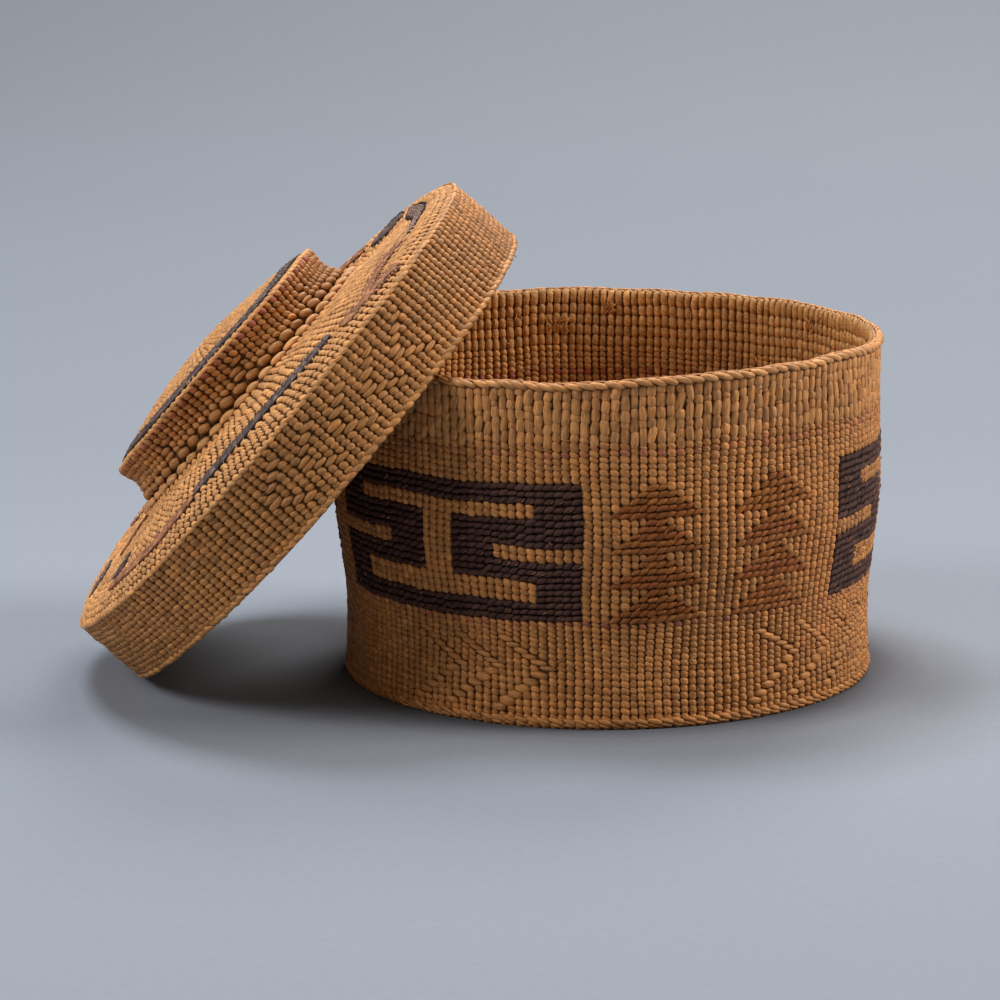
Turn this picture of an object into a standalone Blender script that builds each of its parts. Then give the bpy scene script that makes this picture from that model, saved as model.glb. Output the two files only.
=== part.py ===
"""Twined spruce-root basket with a rattle-top lid that leans on the basket's rim.

The origin is the middle of the basket's base, on the floor. +Z is up, and the lid leans from the -X side.
Sizes are in millimetres and degrees; MM turns them into metres where a mesh is made.
"""
import math

import bmesh
import bpy
from mathutils import Matrix, Vector

MM = 0.001

# Clearances
GAP = 0.3                    # between touching pieces
LEAN_CLEARANCE = 0.4         # between the lid's mouth and the rim, where the rim crosses it
LID_FIT = 0.3                # between the rim braid and the inside of the closed lid
PEBBLE_CLEARANCE = 0.5       # between a pebble and the wall it lies against

# Basket body
BASKET_HEIGHT = 93.4         # floor to the top of the rim braid
RIM_RADIUS = 75.0            # outside of the wall, from the shoulder up
SHOULDER_HEIGHT = 56.0       # where the straight upper wall starts to draw in
WAIST_HEIGHT = 19.0
WAIST_INSET = 3.5            # how far the waist is drawn in from the rim
FOOT_INSET = 3.1             # how far the foot is, at the floor
WALL = 2.4                   # thickness of the twined wall
BASE_THICKNESS = 2.6
RIM_BRAID_HEIGHT = 2.8
RIM_BRAID_REACH = 0.9        # how far the rim braid stands out from the wall
BASE_RIDGE_HEIGHT = 2.6
BASE_RIDGE_REACH = 0.9
BASE_RIDGE_LIFT = 0.4        # the ridge stays just clear of the floor

# Worked pattern round the basket
PATTERN_START = -162.1       # left edge of the first fret, turned from +X about +Z
REPEAT_SPANS = (124.2, 117.9, 117.9)
FRET_WARPS = 34
GAP_WARPS = (4, 4, 5)        # after the fret, after the first and after the second triangle column
TRIANGLE_WARPS = (9, 10)
BAND_BOTTOM = 28.6           # lowest row of the pattern
BAND_ROW = 1.88              # height of one row of twining
FRET_ROWS = (3, 2, 4, 2, 3, 3, 3)      # top bar, notch, bar, notch, bar, notch, bottom bar
FRET_CENTRE = 4              # plain warps in the middle of the fret
FRET_INNER = 5               # warps in each inner upright
FRET_NOTCH = 5               # warps between the inner and the outer upright
TRIANGLES = 4                # triangles stacked in a column
TRIANGLE_ROWS = 5            # rows in each triangle
TRIANGLE_TIP = 2             # warps across a triangle's tip
OVERLAY = 0.5                # thickness of the worked strands over the wall

# Lid
LID_DEPTH = 23.8             # mouth to the outer edge of the lid's top
LID_WALL = 2.4
LID_BRAID_HEIGHT = 2.6
LID_BRAID_REACH = 0.5
LID_RIDGE_HEIGHT = 2.4       # round the corner between flange and top
LID_RIDGE_REACH = 0.9
EDGE_ROLL_WIDTH = 5.0        # rounded edge of the lid's top
EDGE_ROLL_RISE = 2.2
SLOPE_RISE = 3.2             # from the rounded edge in to the knob's fillet
FILLET_WIDTH = 6.0           # fillet up to the knob's foot
FILLET_RISE = 1.8
LEAN_REACH = 30.0            # how far the rim's left side reaches in under the leaning lid

# Knob and its rattle chamber
KNOB_RADIUS = 38.9           # outside of the knob's waist
KNOB_FOOT_FLARE = 1.7        # how far the knob's foot stands out from its waist
KNOB_TOP_FLARE = 0.7         # how far its top stands out
KNOB_HEIGHT = 11.7           # knob's foot to the edge of its top
KNOB_WALL = 2.2
KNOB_DOME = 5.0              # rise of the knob's top from edge to middle
FOOT_RIDGE_WIDTH = 2.0       # row of large stitches round the knob's foot
FOOT_RIDGE_HEIGHT = 1.2
LEDGE = 1.0                  # how far the lid's top reaches in past the knob's wall
PEBBLE_RADIUS = 2.6
PEBBLE_COUNT = 5
PEBBLE_SPACE = 1.0           # between the ways of two pebbles

# Worked pattern on the lid. A place is an angle and a share of the way from the knob's foot to the edge
DARK_ARCS = (                # first angle, last angle, share, width
    (-107.0, -60.0, 0.64, 2.8),
    (73.0, 120.0, 0.69, 2.6),
)
BROWN_ARCS = (
    (-57.0, -38.0, 0.81, 3.4),
    (51.0, 63.0, 0.76, 2.4),
    (-146.0, -109.0, 0.74, 2.4),
    (122.0, 145.0, 0.775, 2.6),
)
DARK_LEAVES = (              # one tip, the other tip, widest part
    ((-19.0, 0.72), (27.0, 0.80), 6.0),
    ((47.0, 0.71), (31.0, 0.765), 6.6),
    ((-175.0, 0.80), (-194.0, 0.655), 4.0),
    ((-148.5, 0.64), (-141.0, 0.52), 3.0),
)
BROWN_LEAF = ((-161.0, 0.41), (-150.0, 0.10), 3.0)
KNOB_BAND_INSET = 3.3        # from the edge of the knob's top to its worked band
KNOB_BAND_WIDTH = 3.8

# Mesh fineness
SEGMENTS = 60                # flats round the basket, lid and knob
ROUND_POINTS = 8             # points round a braid's section

# Colours, as linear red, green, blue
ROOT_TAN = (0.46, 0.25, 0.09)
ROOT_LIGHT = (0.55, 0.32, 0.13)
ROOT_INNER = (0.36, 0.18, 0.06)
DYED_DARK = (0.045, 0.028, 0.026)
DYED_RUST = (0.23, 0.085, 0.030)
STONE = (0.22, 0.20, 0.18)

# Sizes that follow from the ones above
WAIST_RADIUS = RIM_RADIUS - WAIST_INSET
FOOT_RADIUS = RIM_RADIUS - FOOT_INSET
RIM_BRAID_RADIUS = RIM_RADIUS + RIM_BRAID_REACH
WALL_TOP = BASKET_HEIGHT - RIM_BRAID_HEIGHT - GAP
BAND_TOP = BAND_BOTTOM + BAND_ROW * sum(FRET_ROWS)
LID_INNER = RIM_BRAID_RADIUS + LID_FIT
LID_OUTER = LID_INNER + LID_WALL
LID_BRAID_RADIUS = LID_OUTER + LID_BRAID_REACH
FLANGE_TOP = LID_DEPTH - LID_WALL - GAP
KNOB_BASE = LID_DEPTH + EDGE_ROLL_RISE + SLOPE_RISE + FILLET_RISE
KNOB_FOOT_RADIUS = KNOB_RADIUS + KNOB_FOOT_FLARE
KNOB_TOP_RADIUS = KNOB_RADIUS + KNOB_TOP_FLARE
KNOB_INNER = KNOB_RADIUS - KNOB_WALL
HOLE_RADIUS = KNOB_INNER - LEDGE
KNOB_EDGE = KNOB_BASE + KNOB_HEIGHT
FOOT_RIDGE_RADIUS = KNOB_FOOT_RADIUS + GAP
FOOT_RIDGE_OUTER = FOOT_RIDGE_RADIUS + FOOT_RIDGE_WIDTH
KNOB_BAND_OUTER = KNOB_TOP_RADIUS - KNOB_BAND_INSET
KNOB_BAND_RADII = (KNOB_BAND_OUTER - KNOB_BAND_WIDTH, KNOB_BAND_OUTER)
PEBBLE_SPACING = 2 * PEBBLE_RADIUS + PEBBLE_SPACE


def mix(low, high, share):
    return low + (high - low) * share


def smooth(share):
    """Ease from 0 to 1 with level ends."""
    share = min(max(share, 0.0), 1.0)
    return share * share * (3.0 - 2.0 * share)


def wall_radius(height):
    """Outside of the basket wall: straight at the top, drawn in at the waist, a little wider at the foot."""
    if height >= WAIST_HEIGHT:
        rise = (height - WAIST_HEIGHT) / (SHOULDER_HEIGHT - WAIST_HEIGHT)
        return mix(WAIST_RADIUS, RIM_RADIUS, smooth(rise))
    return mix(FOOT_RADIUS, WAIST_RADIUS, smooth(height / WAIST_HEIGHT))


def lid_top_height(radius):
    """Upper face of the lid's top, in the lid's own frame: rounded edge, slope, then a fillet to the knob."""
    roll = smooth((LID_OUTER - radius) / EDGE_ROLL_WIDTH)
    slope_start = LID_OUTER - EDGE_ROLL_WIDTH
    slope_run = slope_start - KNOB_FOOT_RADIUS
    slope = min(max((slope_start - radius) / slope_run, 0.0), 1.0)
    fillet = smooth((KNOB_FOOT_RADIUS + FILLET_WIDTH - radius) / FILLET_WIDTH)
    return LID_DEPTH + EDGE_ROLL_RISE * roll + SLOPE_RISE * slope + FILLET_RISE * fillet


def knob_top_height(radius):
    """Upper face of the knob's domed top, in the lid's own frame."""
    return KNOB_EDGE + KNOB_DOME * (1.0 - (radius / KNOB_TOP_RADIUS) ** 2)


def clear_scene():
    for item in list(bpy.data.objects):
        bpy.data.objects.remove(item, do_unlink=True)


def material(name, colour, roughness=0.7):
    made = bpy.data.materials.new(name)
    made.use_nodes = True
    shader = made.node_tree.nodes["Principled BSDF"]
    shader.inputs["Base Color"].default_value = (*colour, 1.0)
    shader.inputs["Roughness"].default_value = roughness
    shader.inputs["Metallic"].default_value = 0.0
    return made


def empty(name, matrix, parent=None):
    made = bpy.data.objects.new(name, None)
    bpy.context.scene.collection.objects.link(made)
    made.parent = parent
    made.matrix_local = matrix
    return made


def place_mesh(name, mesh, colour, parent=None, roughness=0.7):
    """Turn a finished bmesh into a named object with its own material."""
    bmesh.ops.recalc_face_normals(mesh, faces=mesh.faces)
    data = bpy.data.meshes.new(name)
    mesh.to_mesh(data)
    mesh.free()
    data.shade_smooth()
    data.set_sharp_from_angle(angle=math.radians(40))
    data.materials.append(material(name, colour, roughness))
    made = bpy.data.objects.new(name, data)
    bpy.context.scene.collection.objects.link(made)
    made.parent = parent
    return made


def turned(name, profile, colour, parent=None, on_axis=False):
    """Turn an outline of (radius, height) points round the Z axis.

    The outline is closed, unless on_axis says that it starts and ends on the axis.
    """
    mesh = bmesh.new()
    points = [mesh.verts.new((radius * MM, 0.0, height * MM)) for radius, height in profile]
    pairs = list(zip(points, points[1:]))
    if not on_axis:
        pairs.append((points[-1], points[0]))
    edges = [mesh.edges.new(pair) for pair in pairs]
    bmesh.ops.spin(
        mesh, geom=points + edges, cent=(0, 0, 0), axis=(0, 0, 1),
        angle=2.0 * math.pi, steps=SEGMENTS, use_merge=True)
    bmesh.ops.remove_doubles(mesh, verts=mesh.verts, dist=1e-6)
    return place_mesh(name, mesh, colour, parent)


def round_section(inner, outer, low, high):
    """Rounded braid section that fills the box from inner to outer radius and from low to high."""
    middle = ((inner + outer) / 2, (low + high) / 2)
    half = ((outer - inner) / 2, (high - low) / 2)
    corner = math.pi / ROUND_POINTS
    fill = 1.0 / math.cos(corner)
    turns = [2 * math.pi * step / ROUND_POINTS + corner for step in range(ROUND_POINTS)]
    return [(middle[0] + half[0] * fill * math.cos(turn), middle[1] + half[1] * fill * math.sin(turn))
            for turn in turns]


def overlay(name, cells, place, colour, parent=None):
    """Thin closed solid that lies over a turned surface.

    A cell is a loop of (angle, along) corners, and neighbours share their corners. place(angle, along, lift)
    gives the point that is lift above the surface there.
    """
    mesh = bmesh.new()
    levels = (GAP, GAP + OVERLAY)
    corners = {}

    def corner(key, level):
        if (key, level) not in corners:
            corners[(key, level)] = mesh.verts.new(place(*key, levels[level]) * MM)
        return corners[(key, level)]

    sides = set()
    for cell in cells:
        keys = [(round(angle, 5), round(along, 5)) for angle, along in cell]
        mesh.faces.new([corner(key, 1) for key in keys])
        mesh.faces.new([corner(key, 0) for key in reversed(keys)])
        sides.update(zip(keys, keys[1:] + keys[:1]))
    for start, end in sorted(sides):
        if (end, start) not in sides:
            mesh.faces.new([corner(end, 1), corner(start, 1), corner(start, 0), corner(end, 0)])
    return place_mesh(name, mesh, colour, parent)


def round_axis(angle, radius, height):
    turn = math.radians(angle)
    return Vector((radius * math.cos(turn), radius * math.sin(turn), height))


def on_wall(angle, height, lift):
    return round_axis(angle, wall_radius(height) + lift, height)


def on_lid_top(angle, radius, lift):
    return round_axis(angle, radius, lid_top_height(radius) + lift)


def on_knob_top(angle, radius, lift):
    return round_axis(angle, radius, knob_top_height(radius) + lift)


# Basket body

def make_basket_base():
    """Flat twined disc inside the foot of the wall."""
    radius = FOOT_RADIUS - WALL - GAP
    chamfer = min(0.8, BASE_THICKNESS / 3)
    profile = [(0, 0), (radius - chamfer, 0), (radius, chamfer), (radius, BASE_THICKNESS - chamfer),
               (radius - chamfer, BASE_THICKNESS), (0, BASE_THICKNESS)]
    return turned("basket_base", profile, ROOT_INNER, on_axis=True)


def make_basket_wall():
    """Side wall from the floor to just under the rim braid, with an even thickness."""
    steps = 5
    lower = [WAIST_HEIGHT * step / 2 for step in range(2)]
    middle = [mix(WAIST_HEIGHT, SHOULDER_HEIGHT, step / steps) for step in range(steps + 1)]
    heights = lower + middle + [WALL_TOP]
    outside = [(wall_radius(height), height) for height in heights]
    inside = [(wall_radius(height) - WALL, height) for height in reversed(heights)]
    return turned("basket_wall", outside + inside, ROOT_TAN)


def make_rim_braid():
    inner = RIM_RADIUS - WALL - RIM_BRAID_REACH / 2
    section = round_section(inner, RIM_BRAID_RADIUS, BASKET_HEIGHT - RIM_BRAID_HEIGHT, BASKET_HEIGHT)
    return turned("rim_braid", section, ROOT_LIGHT)


def make_base_ridge():
    """Twined ridge round the outside of the foot."""
    inner = FOOT_RADIUS + GAP
    top = BASE_RIDGE_LIFT + BASE_RIDGE_HEIGHT
    section = round_section(inner, inner + BASE_RIDGE_REACH, BASE_RIDGE_LIFT, top)
    return turned("base_ridge", section, ROOT_TAN)


def pattern_bands():
    """Angles of each fret and triangle column: (kind, start, degrees per warp, warps)."""
    bands = []
    start = PATTERN_START
    widths = [("fret", FRET_WARPS), ("plain", GAP_WARPS[0]),
              ("triangles", TRIANGLE_WARPS[0]), ("plain", GAP_WARPS[1]),
              ("triangles", TRIANGLE_WARPS[1]), ("plain", GAP_WARPS[2])]
    total = sum(warps for kind, warps in widths)
    for span in REPEAT_SPANS:
        pitch = span / total
        for kind, warps in widths:
            if kind != "plain":
                bands.append((kind, start, pitch, warps))
            start += pitch * warps
    return bands


def split(low, high, largest):
    """Even steps from low to high, none longer than largest."""
    count = max(1, math.ceil((high - low) / largest - 1e-9))
    return [mix(low, high, step / count) for step in range(count + 1)]


def fret_cells(start, pitch, warps):
    """Mirror-image fret: bars joined in turn by the outer and the inner uprights."""
    outer = (warps - FRET_CENTRE) / 2 - FRET_INNER - FRET_NOTCH
    widths = (outer, FRET_NOTCH, FRET_INNER, FRET_CENTRE, FRET_INNER, FRET_NOTCH, outer)
    every, uprights, inner_pair = (0, 1, 2, 3, 4, 5, 6), (0, 6), (2, 4)
    sides = (0, 1, 2, 4, 5, 6)
    filled = (every, uprights, sides, inner_pair, sides, uprights, every)
    cells = []
    top = BAND_TOP
    for rows, columns in zip(FRET_ROWS, filled):
        bottom = top - rows * BAND_ROW
        left = 0.0
        for column, width in enumerate(widths):
            edges = split(left, left + width, 2.5)
            left += width
            if column not in columns:
                continue
            for first, second in zip(edges, edges[1:]):
                west = start + pitch * first
                east = start + pitch * second
                cells.append([(west, bottom), (east, bottom), (east, top), (west, top)])
        top = bottom
    return cells


def triangle_cells(start, pitch, warps):
    """Column of stacked triangles, each one's tip under the base of the one above."""
    middle = start + pitch * warps / 2
    tip = pitch * TRIANGLE_TIP / 2
    foot = pitch * warps / 2
    cells = []
    for index in range(TRIANGLES):
        top = BAND_TOP - index * TRIANGLE_ROWS * BAND_ROW
        bottom = top - TRIANGLE_ROWS * BAND_ROW
        for west, east in ((-tip, 0.0), (0.0, tip)):
            cells.append([(middle + west, bottom), (middle + east, bottom),
                          (middle + east, top), (middle + west, top)])
        cells.append([(middle - foot, bottom), (middle - tip, bottom), (middle - tip, top)])
        cells.append([(middle + tip, bottom), (middle + foot, bottom), (middle + tip, top)])
    return cells


def make_pattern():
    counts = {"fret": 0, "triangles": 0}
    for kind, start, pitch, warps in pattern_bands():
        counts[kind] += 1
        if kind == "fret":
            cells = fret_cells(start, pitch, warps)
            overlay(f"fret_panel_{counts[kind]}", cells, on_wall, DYED_DARK)
        else:
            cells = triangle_cells(start, pitch, warps)
            overlay(f"triangle_column_{counts[kind]}", cells, on_wall, DYED_RUST)


# Lean of the lid

def lean_frame():
    """Frame of the leaning lid: origin at the middle of its mouth, +Z out of its top, +X up the slope.

    The rim's left side reaches LEAN_REACH in under the lid, and the lid's lowest edge rests on the floor.
    The rim then crosses the mouth on a chord, and the chord's place on the mouth gives the lean.
    """
    chord_x = -(RIM_BRAID_RADIUS - LEAN_REACH)
    half_chord = math.sqrt(RIM_BRAID_RADIUS ** 2 - chord_x ** 2) + LEAN_CLEARANCE
    along_mouth = math.sqrt(LID_INNER ** 2 - half_chord ** 2)
    lean = math.asin((BASKET_HEIGHT - GAP) / (LID_BRAID_RADIUS + along_mouth))
    middle_x = chord_x - along_mouth * math.cos(lean)
    middle_z = GAP + LID_BRAID_RADIUS * math.sin(lean)
    place = Matrix.Translation((middle_x * MM, 0.0, middle_z * MM))
    return place @ Matrix.Rotation(-lean, 4, "Y")


# Lid

def make_lid_flange(lid):
    low = LID_BRAID_HEIGHT + GAP
    profile = [(LID_OUTER, low), (LID_OUTER, FLANGE_TOP), (LID_INNER, FLANGE_TOP), (LID_INNER, low)]
    turned("lid_flange", profile, ROOT_TAN, lid)
    section = round_section(LID_INNER, LID_BRAID_RADIUS, 0.0, LID_BRAID_HEIGHT)
    turned("lid_rim_braid", section, ROOT_LIGHT, lid)
    inner = LID_OUTER + GAP
    section = round_section(inner, inner + LID_RIDGE_REACH, LID_DEPTH - LID_RIDGE_HEIGHT, LID_DEPTH)
    turned("lid_edge_ridge", section, ROOT_LIGHT, lid)


def make_lid_top(lid):
    """Ring-shaped top with a rounded edge, a slope and the fillet at the knob's foot."""
    roll = [LID_OUTER - EDGE_ROLL_WIDTH * share for share in (0.0, 0.33, 0.67, 1.0)]
    fillet = [KNOB_FOOT_RADIUS + FILLET_WIDTH * share for share in (1.0, 0.67, 0.33, 0.0)]
    radii = roll + fillet + [HOLE_RADIUS]
    upper = [(radius, lid_top_height(radius)) for radius in radii]
    lower = [(radius, height - LID_WALL) for radius, height in reversed(upper)]
    turned("lid_top", upper + lower, ROOT_TAN, lid)


def make_knob(lid):
    """Drum-shaped knob: the floor of its rattle chamber, its wall and its domed top."""
    floor_radius = HOLE_RADIUS - GAP
    floor = [(0, KNOB_BASE - LID_WALL), (floor_radius, KNOB_BASE - LID_WALL),
             (floor_radius, KNOB_BASE), (0, KNOB_BASE)]
    turned("chamber_floor", floor, ROOT_INNER, lid, on_axis=True)
    low = KNOB_BASE + GAP
    high = KNOB_EDGE - KNOB_WALL - GAP
    waist = mix(low, high, 0.5)
    outside = [(KNOB_FOOT_RADIUS, low), (KNOB_RADIUS + 0.3 * KNOB_FOOT_FLARE, mix(low, waist, 0.5)),
               (KNOB_RADIUS, waist), (KNOB_TOP_RADIUS, high)]
    inside = [(KNOB_INNER, high), (KNOB_INNER, low)]
    turned("knob_wall", outside + inside, ROOT_TAN, lid)
    radii = [KNOB_TOP_RADIUS * share for share in (0.0, 0.3, 0.55, 0.75, 0.9, 1.0)]
    upper = [(radius, knob_top_height(radius)) for radius in radii]
    lower = [(radius, height - KNOB_WALL) for radius, height in reversed(upper)]
    turned("knob_top", upper + lower, ROOT_TAN, lid, on_axis=True)


def make_foot_ridge(lid):
    """Row of large stitches on the fillet round the knob's foot."""
    inner = FOOT_RIDGE_RADIUS
    outer = inner + FOOT_RIDGE_WIDTH
    middle = (inner + outer) / 2
    low = [(radius, lid_top_height(radius) + GAP) for radius in (inner, middle, outer)]
    high = [(outer, low[2][1] + FOOT_RIDGE_HEIGHT / 2), (middle, low[1][1] + FOOT_RIDGE_HEIGHT),
            (inner, low[0][1] + FOOT_RIDGE_HEIGHT)]
    turned("knob_foot_ridge", low + high, ROOT_LIGHT, lid)


def ring_cells(start, end, inner, outer):
    """Part of a flat ring between two angles."""
    edges = split(start, end, 6.0)
    return [[(west, inner), (west, outer), (east, outer), (east, inner)]
            for west, east in zip(edges, edges[1:])]


def top_radius(share):
    """Radius on the lid's top, from the ridge round the knob's foot out to the edge."""
    return mix(FOOT_RIDGE_OUTER, LID_OUTER, share)


def leaf_cells(first, last, width):
    """Pointed leaf between two tips, widest in its middle. A tip is an angle and a share."""
    steps = 6
    middles = []
    for step in range(steps + 1):
        angle = mix(first[0], last[0], step / steps)
        middles.append(round_axis(angle, top_radius(mix(first[1], last[1], step / steps)), 0.0))

    def spot(step, side):
        along = (middles[min(step + 1, steps)] - middles[max(step - 1, 0)]).normalized()
        half = width / 2 * math.sin(math.pi * step / steps)
        point = middles[step] + side * half * Vector((along.y, -along.x, 0.0))
        return math.degrees(math.atan2(point.y, point.x)), math.hypot(point.x, point.y)

    cells = []
    for step in range(steps):
        for side in (-1.0, 1.0):
            cell = [spot(step, 0.0), spot(step, side), spot(step + 1, side), spot(step + 1, 0.0)]
            rounded = [(round(angle, 5), round(radius, 5)) for angle, radius in cell]
            unique = [key for place, key in enumerate(rounded) if key not in rounded[:place]]
            cells.append(unique if side > 0 else unique[::-1])
    return cells


def arc_cells(first, last, share, width):
    middle = top_radius(share)
    return ring_cells(first, last, middle - width / 2, middle + width / 2)


def make_lid_pattern(lid):
    for index, arc in enumerate(DARK_ARCS):
        overlay(f"lid_dark_arc_{index + 1}", arc_cells(*arc), on_lid_top, DYED_DARK, lid)
    for index, arc in enumerate(BROWN_ARCS):
        overlay(f"lid_brown_arc_{index + 1}", arc_cells(*arc), on_lid_top, DYED_RUST, lid)
    for index, leaf in enumerate(DARK_LEAVES):
        overlay(f"lid_dark_leaf_{index + 1}", leaf_cells(*leaf), on_lid_top, DYED_DARK, lid)
    overlay("lid_brown_leaf", leaf_cells(*BROWN_LEAF), on_lid_top, DYED_RUST, lid)
    cells = ring_cells(0.0, 360.0, *KNOB_BAND_RADII)
    cells = [[(angle % 360.0, along) for angle, along in cell] for cell in cells]
    overlay("knob_band", cells, on_knob_top, DYED_DARK, lid)


def make_pebbles(lid):
    """Loose pebbles at the low side of the rattle chamber, each on the start of its own way across it."""
    limit = KNOB_INNER - PEBBLE_RADIUS - PEBBLE_CLEARANCE
    for index in range(PEBBLE_COUNT):
        across = (index - (PEBBLE_COUNT - 1) / 2) * PEBBLE_SPACING
        along = -math.sqrt(limit ** 2 - across ** 2)
        seat = KNOB_BASE + GAP + PEBBLE_RADIUS
        way = empty(f"pebble_way_{index + 1}", Matrix.Translation((along * MM, across * MM, seat * MM)), lid)
        mesh = bmesh.new()
        bmesh.ops.create_icosphere(mesh, subdivisions=2, radius=PEBBLE_RADIUS * MM)
        squeeze = 0.82 + 0.04 * index
        bmesh.ops.scale(mesh, vec=(1.0, squeeze, 1.0), verts=mesh.verts)
        place_mesh(f"rattle_pebble_{index + 1}", mesh, STONE, way, roughness=0.5)


def main():
    clear_scene()
    make_basket_base()
    make_basket_wall()
    make_rim_braid()
    make_base_ridge()
    make_pattern()
    lid = empty("lid_lean", lean_frame())
    make_lid_flange(lid)
    make_lid_top(lid)
    make_foot_ridge(lid)
    make_knob(lid)
    make_lid_pattern(lid)
    make_pebbles(lid)
    bpy.context.view_layer.update()


main()
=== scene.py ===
"""Looks of the twined spruce-root basket with its rattle-top lid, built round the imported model.

Every surface is woven stitch by stitch: a stitch is a small rounded bead that lies on a turned surface.
Lengths are in millimetres and angles in degrees; MM turns them into metres where a mesh is made.
"""
import math

import bmesh
import bpy
import numpy as np
from mathutils import Matrix, Vector


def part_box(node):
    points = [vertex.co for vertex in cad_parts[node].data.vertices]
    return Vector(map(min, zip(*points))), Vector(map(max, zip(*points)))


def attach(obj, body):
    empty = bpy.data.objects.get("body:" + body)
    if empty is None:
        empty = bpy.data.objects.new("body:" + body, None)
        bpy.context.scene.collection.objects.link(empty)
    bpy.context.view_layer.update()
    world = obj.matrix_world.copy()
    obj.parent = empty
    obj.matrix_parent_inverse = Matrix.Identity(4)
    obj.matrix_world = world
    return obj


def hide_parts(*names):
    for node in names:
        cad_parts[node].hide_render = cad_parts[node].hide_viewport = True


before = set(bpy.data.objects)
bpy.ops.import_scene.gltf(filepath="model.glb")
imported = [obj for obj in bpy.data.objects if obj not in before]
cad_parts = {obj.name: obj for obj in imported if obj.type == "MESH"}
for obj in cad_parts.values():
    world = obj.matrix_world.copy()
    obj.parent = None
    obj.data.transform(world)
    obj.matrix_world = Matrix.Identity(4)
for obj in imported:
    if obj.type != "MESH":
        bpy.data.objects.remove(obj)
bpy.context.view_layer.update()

MM = 0.001

# Basket, as in the CAD
HEIGHT = 93.4
RIM_RADIUS = 75.0
SHOULDER = 56.0
WAIST = 19.0
WAIST_RADIUS = 71.5
FOOT_RADIUS = 71.9
WALL = 2.4
OUTSIDE_TOP = 91.7            # the stitches end a little inside the rim braid
INSIDE_TOP = 93.0
BASE_THICKNESS = 2.6

# Lid, as in the CAD, in its own frame: mouth at 0, top upwards, +X up the slope
LID_INNER = 76.2
LID_OUTER = 78.6
LID_DEPTH = 23.8
LID_WALL = 2.4
ROLL_WIDTH = 5.0
ROLL_RISE = 2.2
SLOPE_RISE = 3.2
FILLET_WIDTH = 6.0
FILLET_RISE = 1.8
KNOB_BASE = 31.0
KNOB_EDGE = 42.7
KNOB_FOOT = 40.6
KNOB_WAIST = 38.9
KNOB_TOP = 39.6
KNOB_WALL = 2.2
KNOB_DOME = 5.0
CHAMBER_FLOOR = 35.4
LID_MIDDLE = (-76.499, 0.0, 59.229)
LEAN = 48.157
KNOB_TILT = 4.17             # the knob leans towards the far side
LID_RESTS = 127.0            # the lid lies on the rim at this angle, both ways from +X

# Camera, from a fit to the photograph
CAMERA_AROUND = -92.8
CAMERA_AWAY = 1175.93
CAMERA_HEIGHT = 299.18
CAMERA_TARGET = 45.0
CAMERA_TURN = -1.400
CAMERA_TIP = -0.055
CAMERA_ROLL = 0.213
CAMERA_FOCUS = 4.35906       # focal length over the picture's width

# Weave
WARPS = 198
KNOB_WARPS = 104
RIB = 360.0 / WARPS
PATTERN_START = -162.1
REPEAT_SPANS = (124.2, 117.9, 117.9)
WHOLE_TURN = (360.0,)
THIRD_TURN = 120.0001        # a trace more, so that three of them take in a full turn
DISC_RIB = 2.55              # the most that two ribs of a disc stand apart
BAND_BOTTOM = 28.6
BAND_ROW = 1.88
BAND_COUNT = 20              # rows of stitches that the frets and the triangles take up
FRET = ("xxxxxxx", "x.....x", "xxx.xxx", "..x.x..", "xxx.xxx", "x.....x", "xxxxxxx")
FRET_COLUMNS = (5, 5, 5, 4, 5, 5, 5)
FRET_ROWS = (3, 2, 4, 2, 3, 3, 3)
TRIANGLE_STARTS = (37, 51)   # ribs from the start of a repeat
TRIANGLE_WARPS = 10
TRIANGLE_ROWS = 5
TRIANGLE_DYES = ("ooorr" "rrrot" "ooorr" "rorrt", "roooo" "rorrt" "ooorr" "orrot")
STRAND_LEAN = -39.0
STRAND_SHIFTS = (-0.25, 0.2, 0.0, 0.3)    # along the row, by turns, as shares of a rib's width
ARROW_RIBS = (13, 18, 24, 54, 60, 66, 73, 98, 104, 110, 136, 142, 148, 154, 176, 182, 188)
LID_ARROW_RIBS = [zone + nest for zone in (38, 104, 170) for nest in range(0, 25, 5)]
FOOT_OVALS = 52              # large ovals round the knob's foot
KNOB_ZONES = ((29.0, KNOB_WARPS), (17.0, 78), (8.5, 44), (3.0, 22), (0.8, 9))    # inner radius, ribs
KNOB_BAND_RADIUS = 34.6
KNOB_BAND_WIDTH = 4.9
SKIN = 0.62                  # depth of a core under its surface
CORE_STEPS = 132

# Torn places inside the rim: angles from and to, and places along the outline from and to
TEARS = ((95.5, 101.5, 8.0, 11.0), (85.0, 87.5, 2.5, 6.0), (30.0, 36.0, 2.0, 7.0))

# Paths worked on the lid's top: angles, radii and full width
LID_ARCS = {
    "dark": (((-107.5, -94.5, -82.0, -70.0, -59.5), (65.6, 64.6, 65.1, 66.1, 67.0), 3.6),
             ((73.0, 120.0), (67.5, 67.5), 3.4)),
    "brown": (((-57.0, -47.5, -38.0), (70.3, 71.7, 74.0), 4.8),
              ((51.0, 57.0, 63.0), (69.1, 69.9, 71.4), 3.0),
              ((-146.0, -135.0, -124.0, -116.0, -108.0), (70.4, 69.5, 69.6, 68.0, 67.2), 3.0),
              ((122.0, 145.0), (70.6, 70.6), 3.0))}
LID_STROKE = ((-22, -30, -38, -47), (66.2, 65.0, 65.8, 69.6), 3.4)

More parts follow.
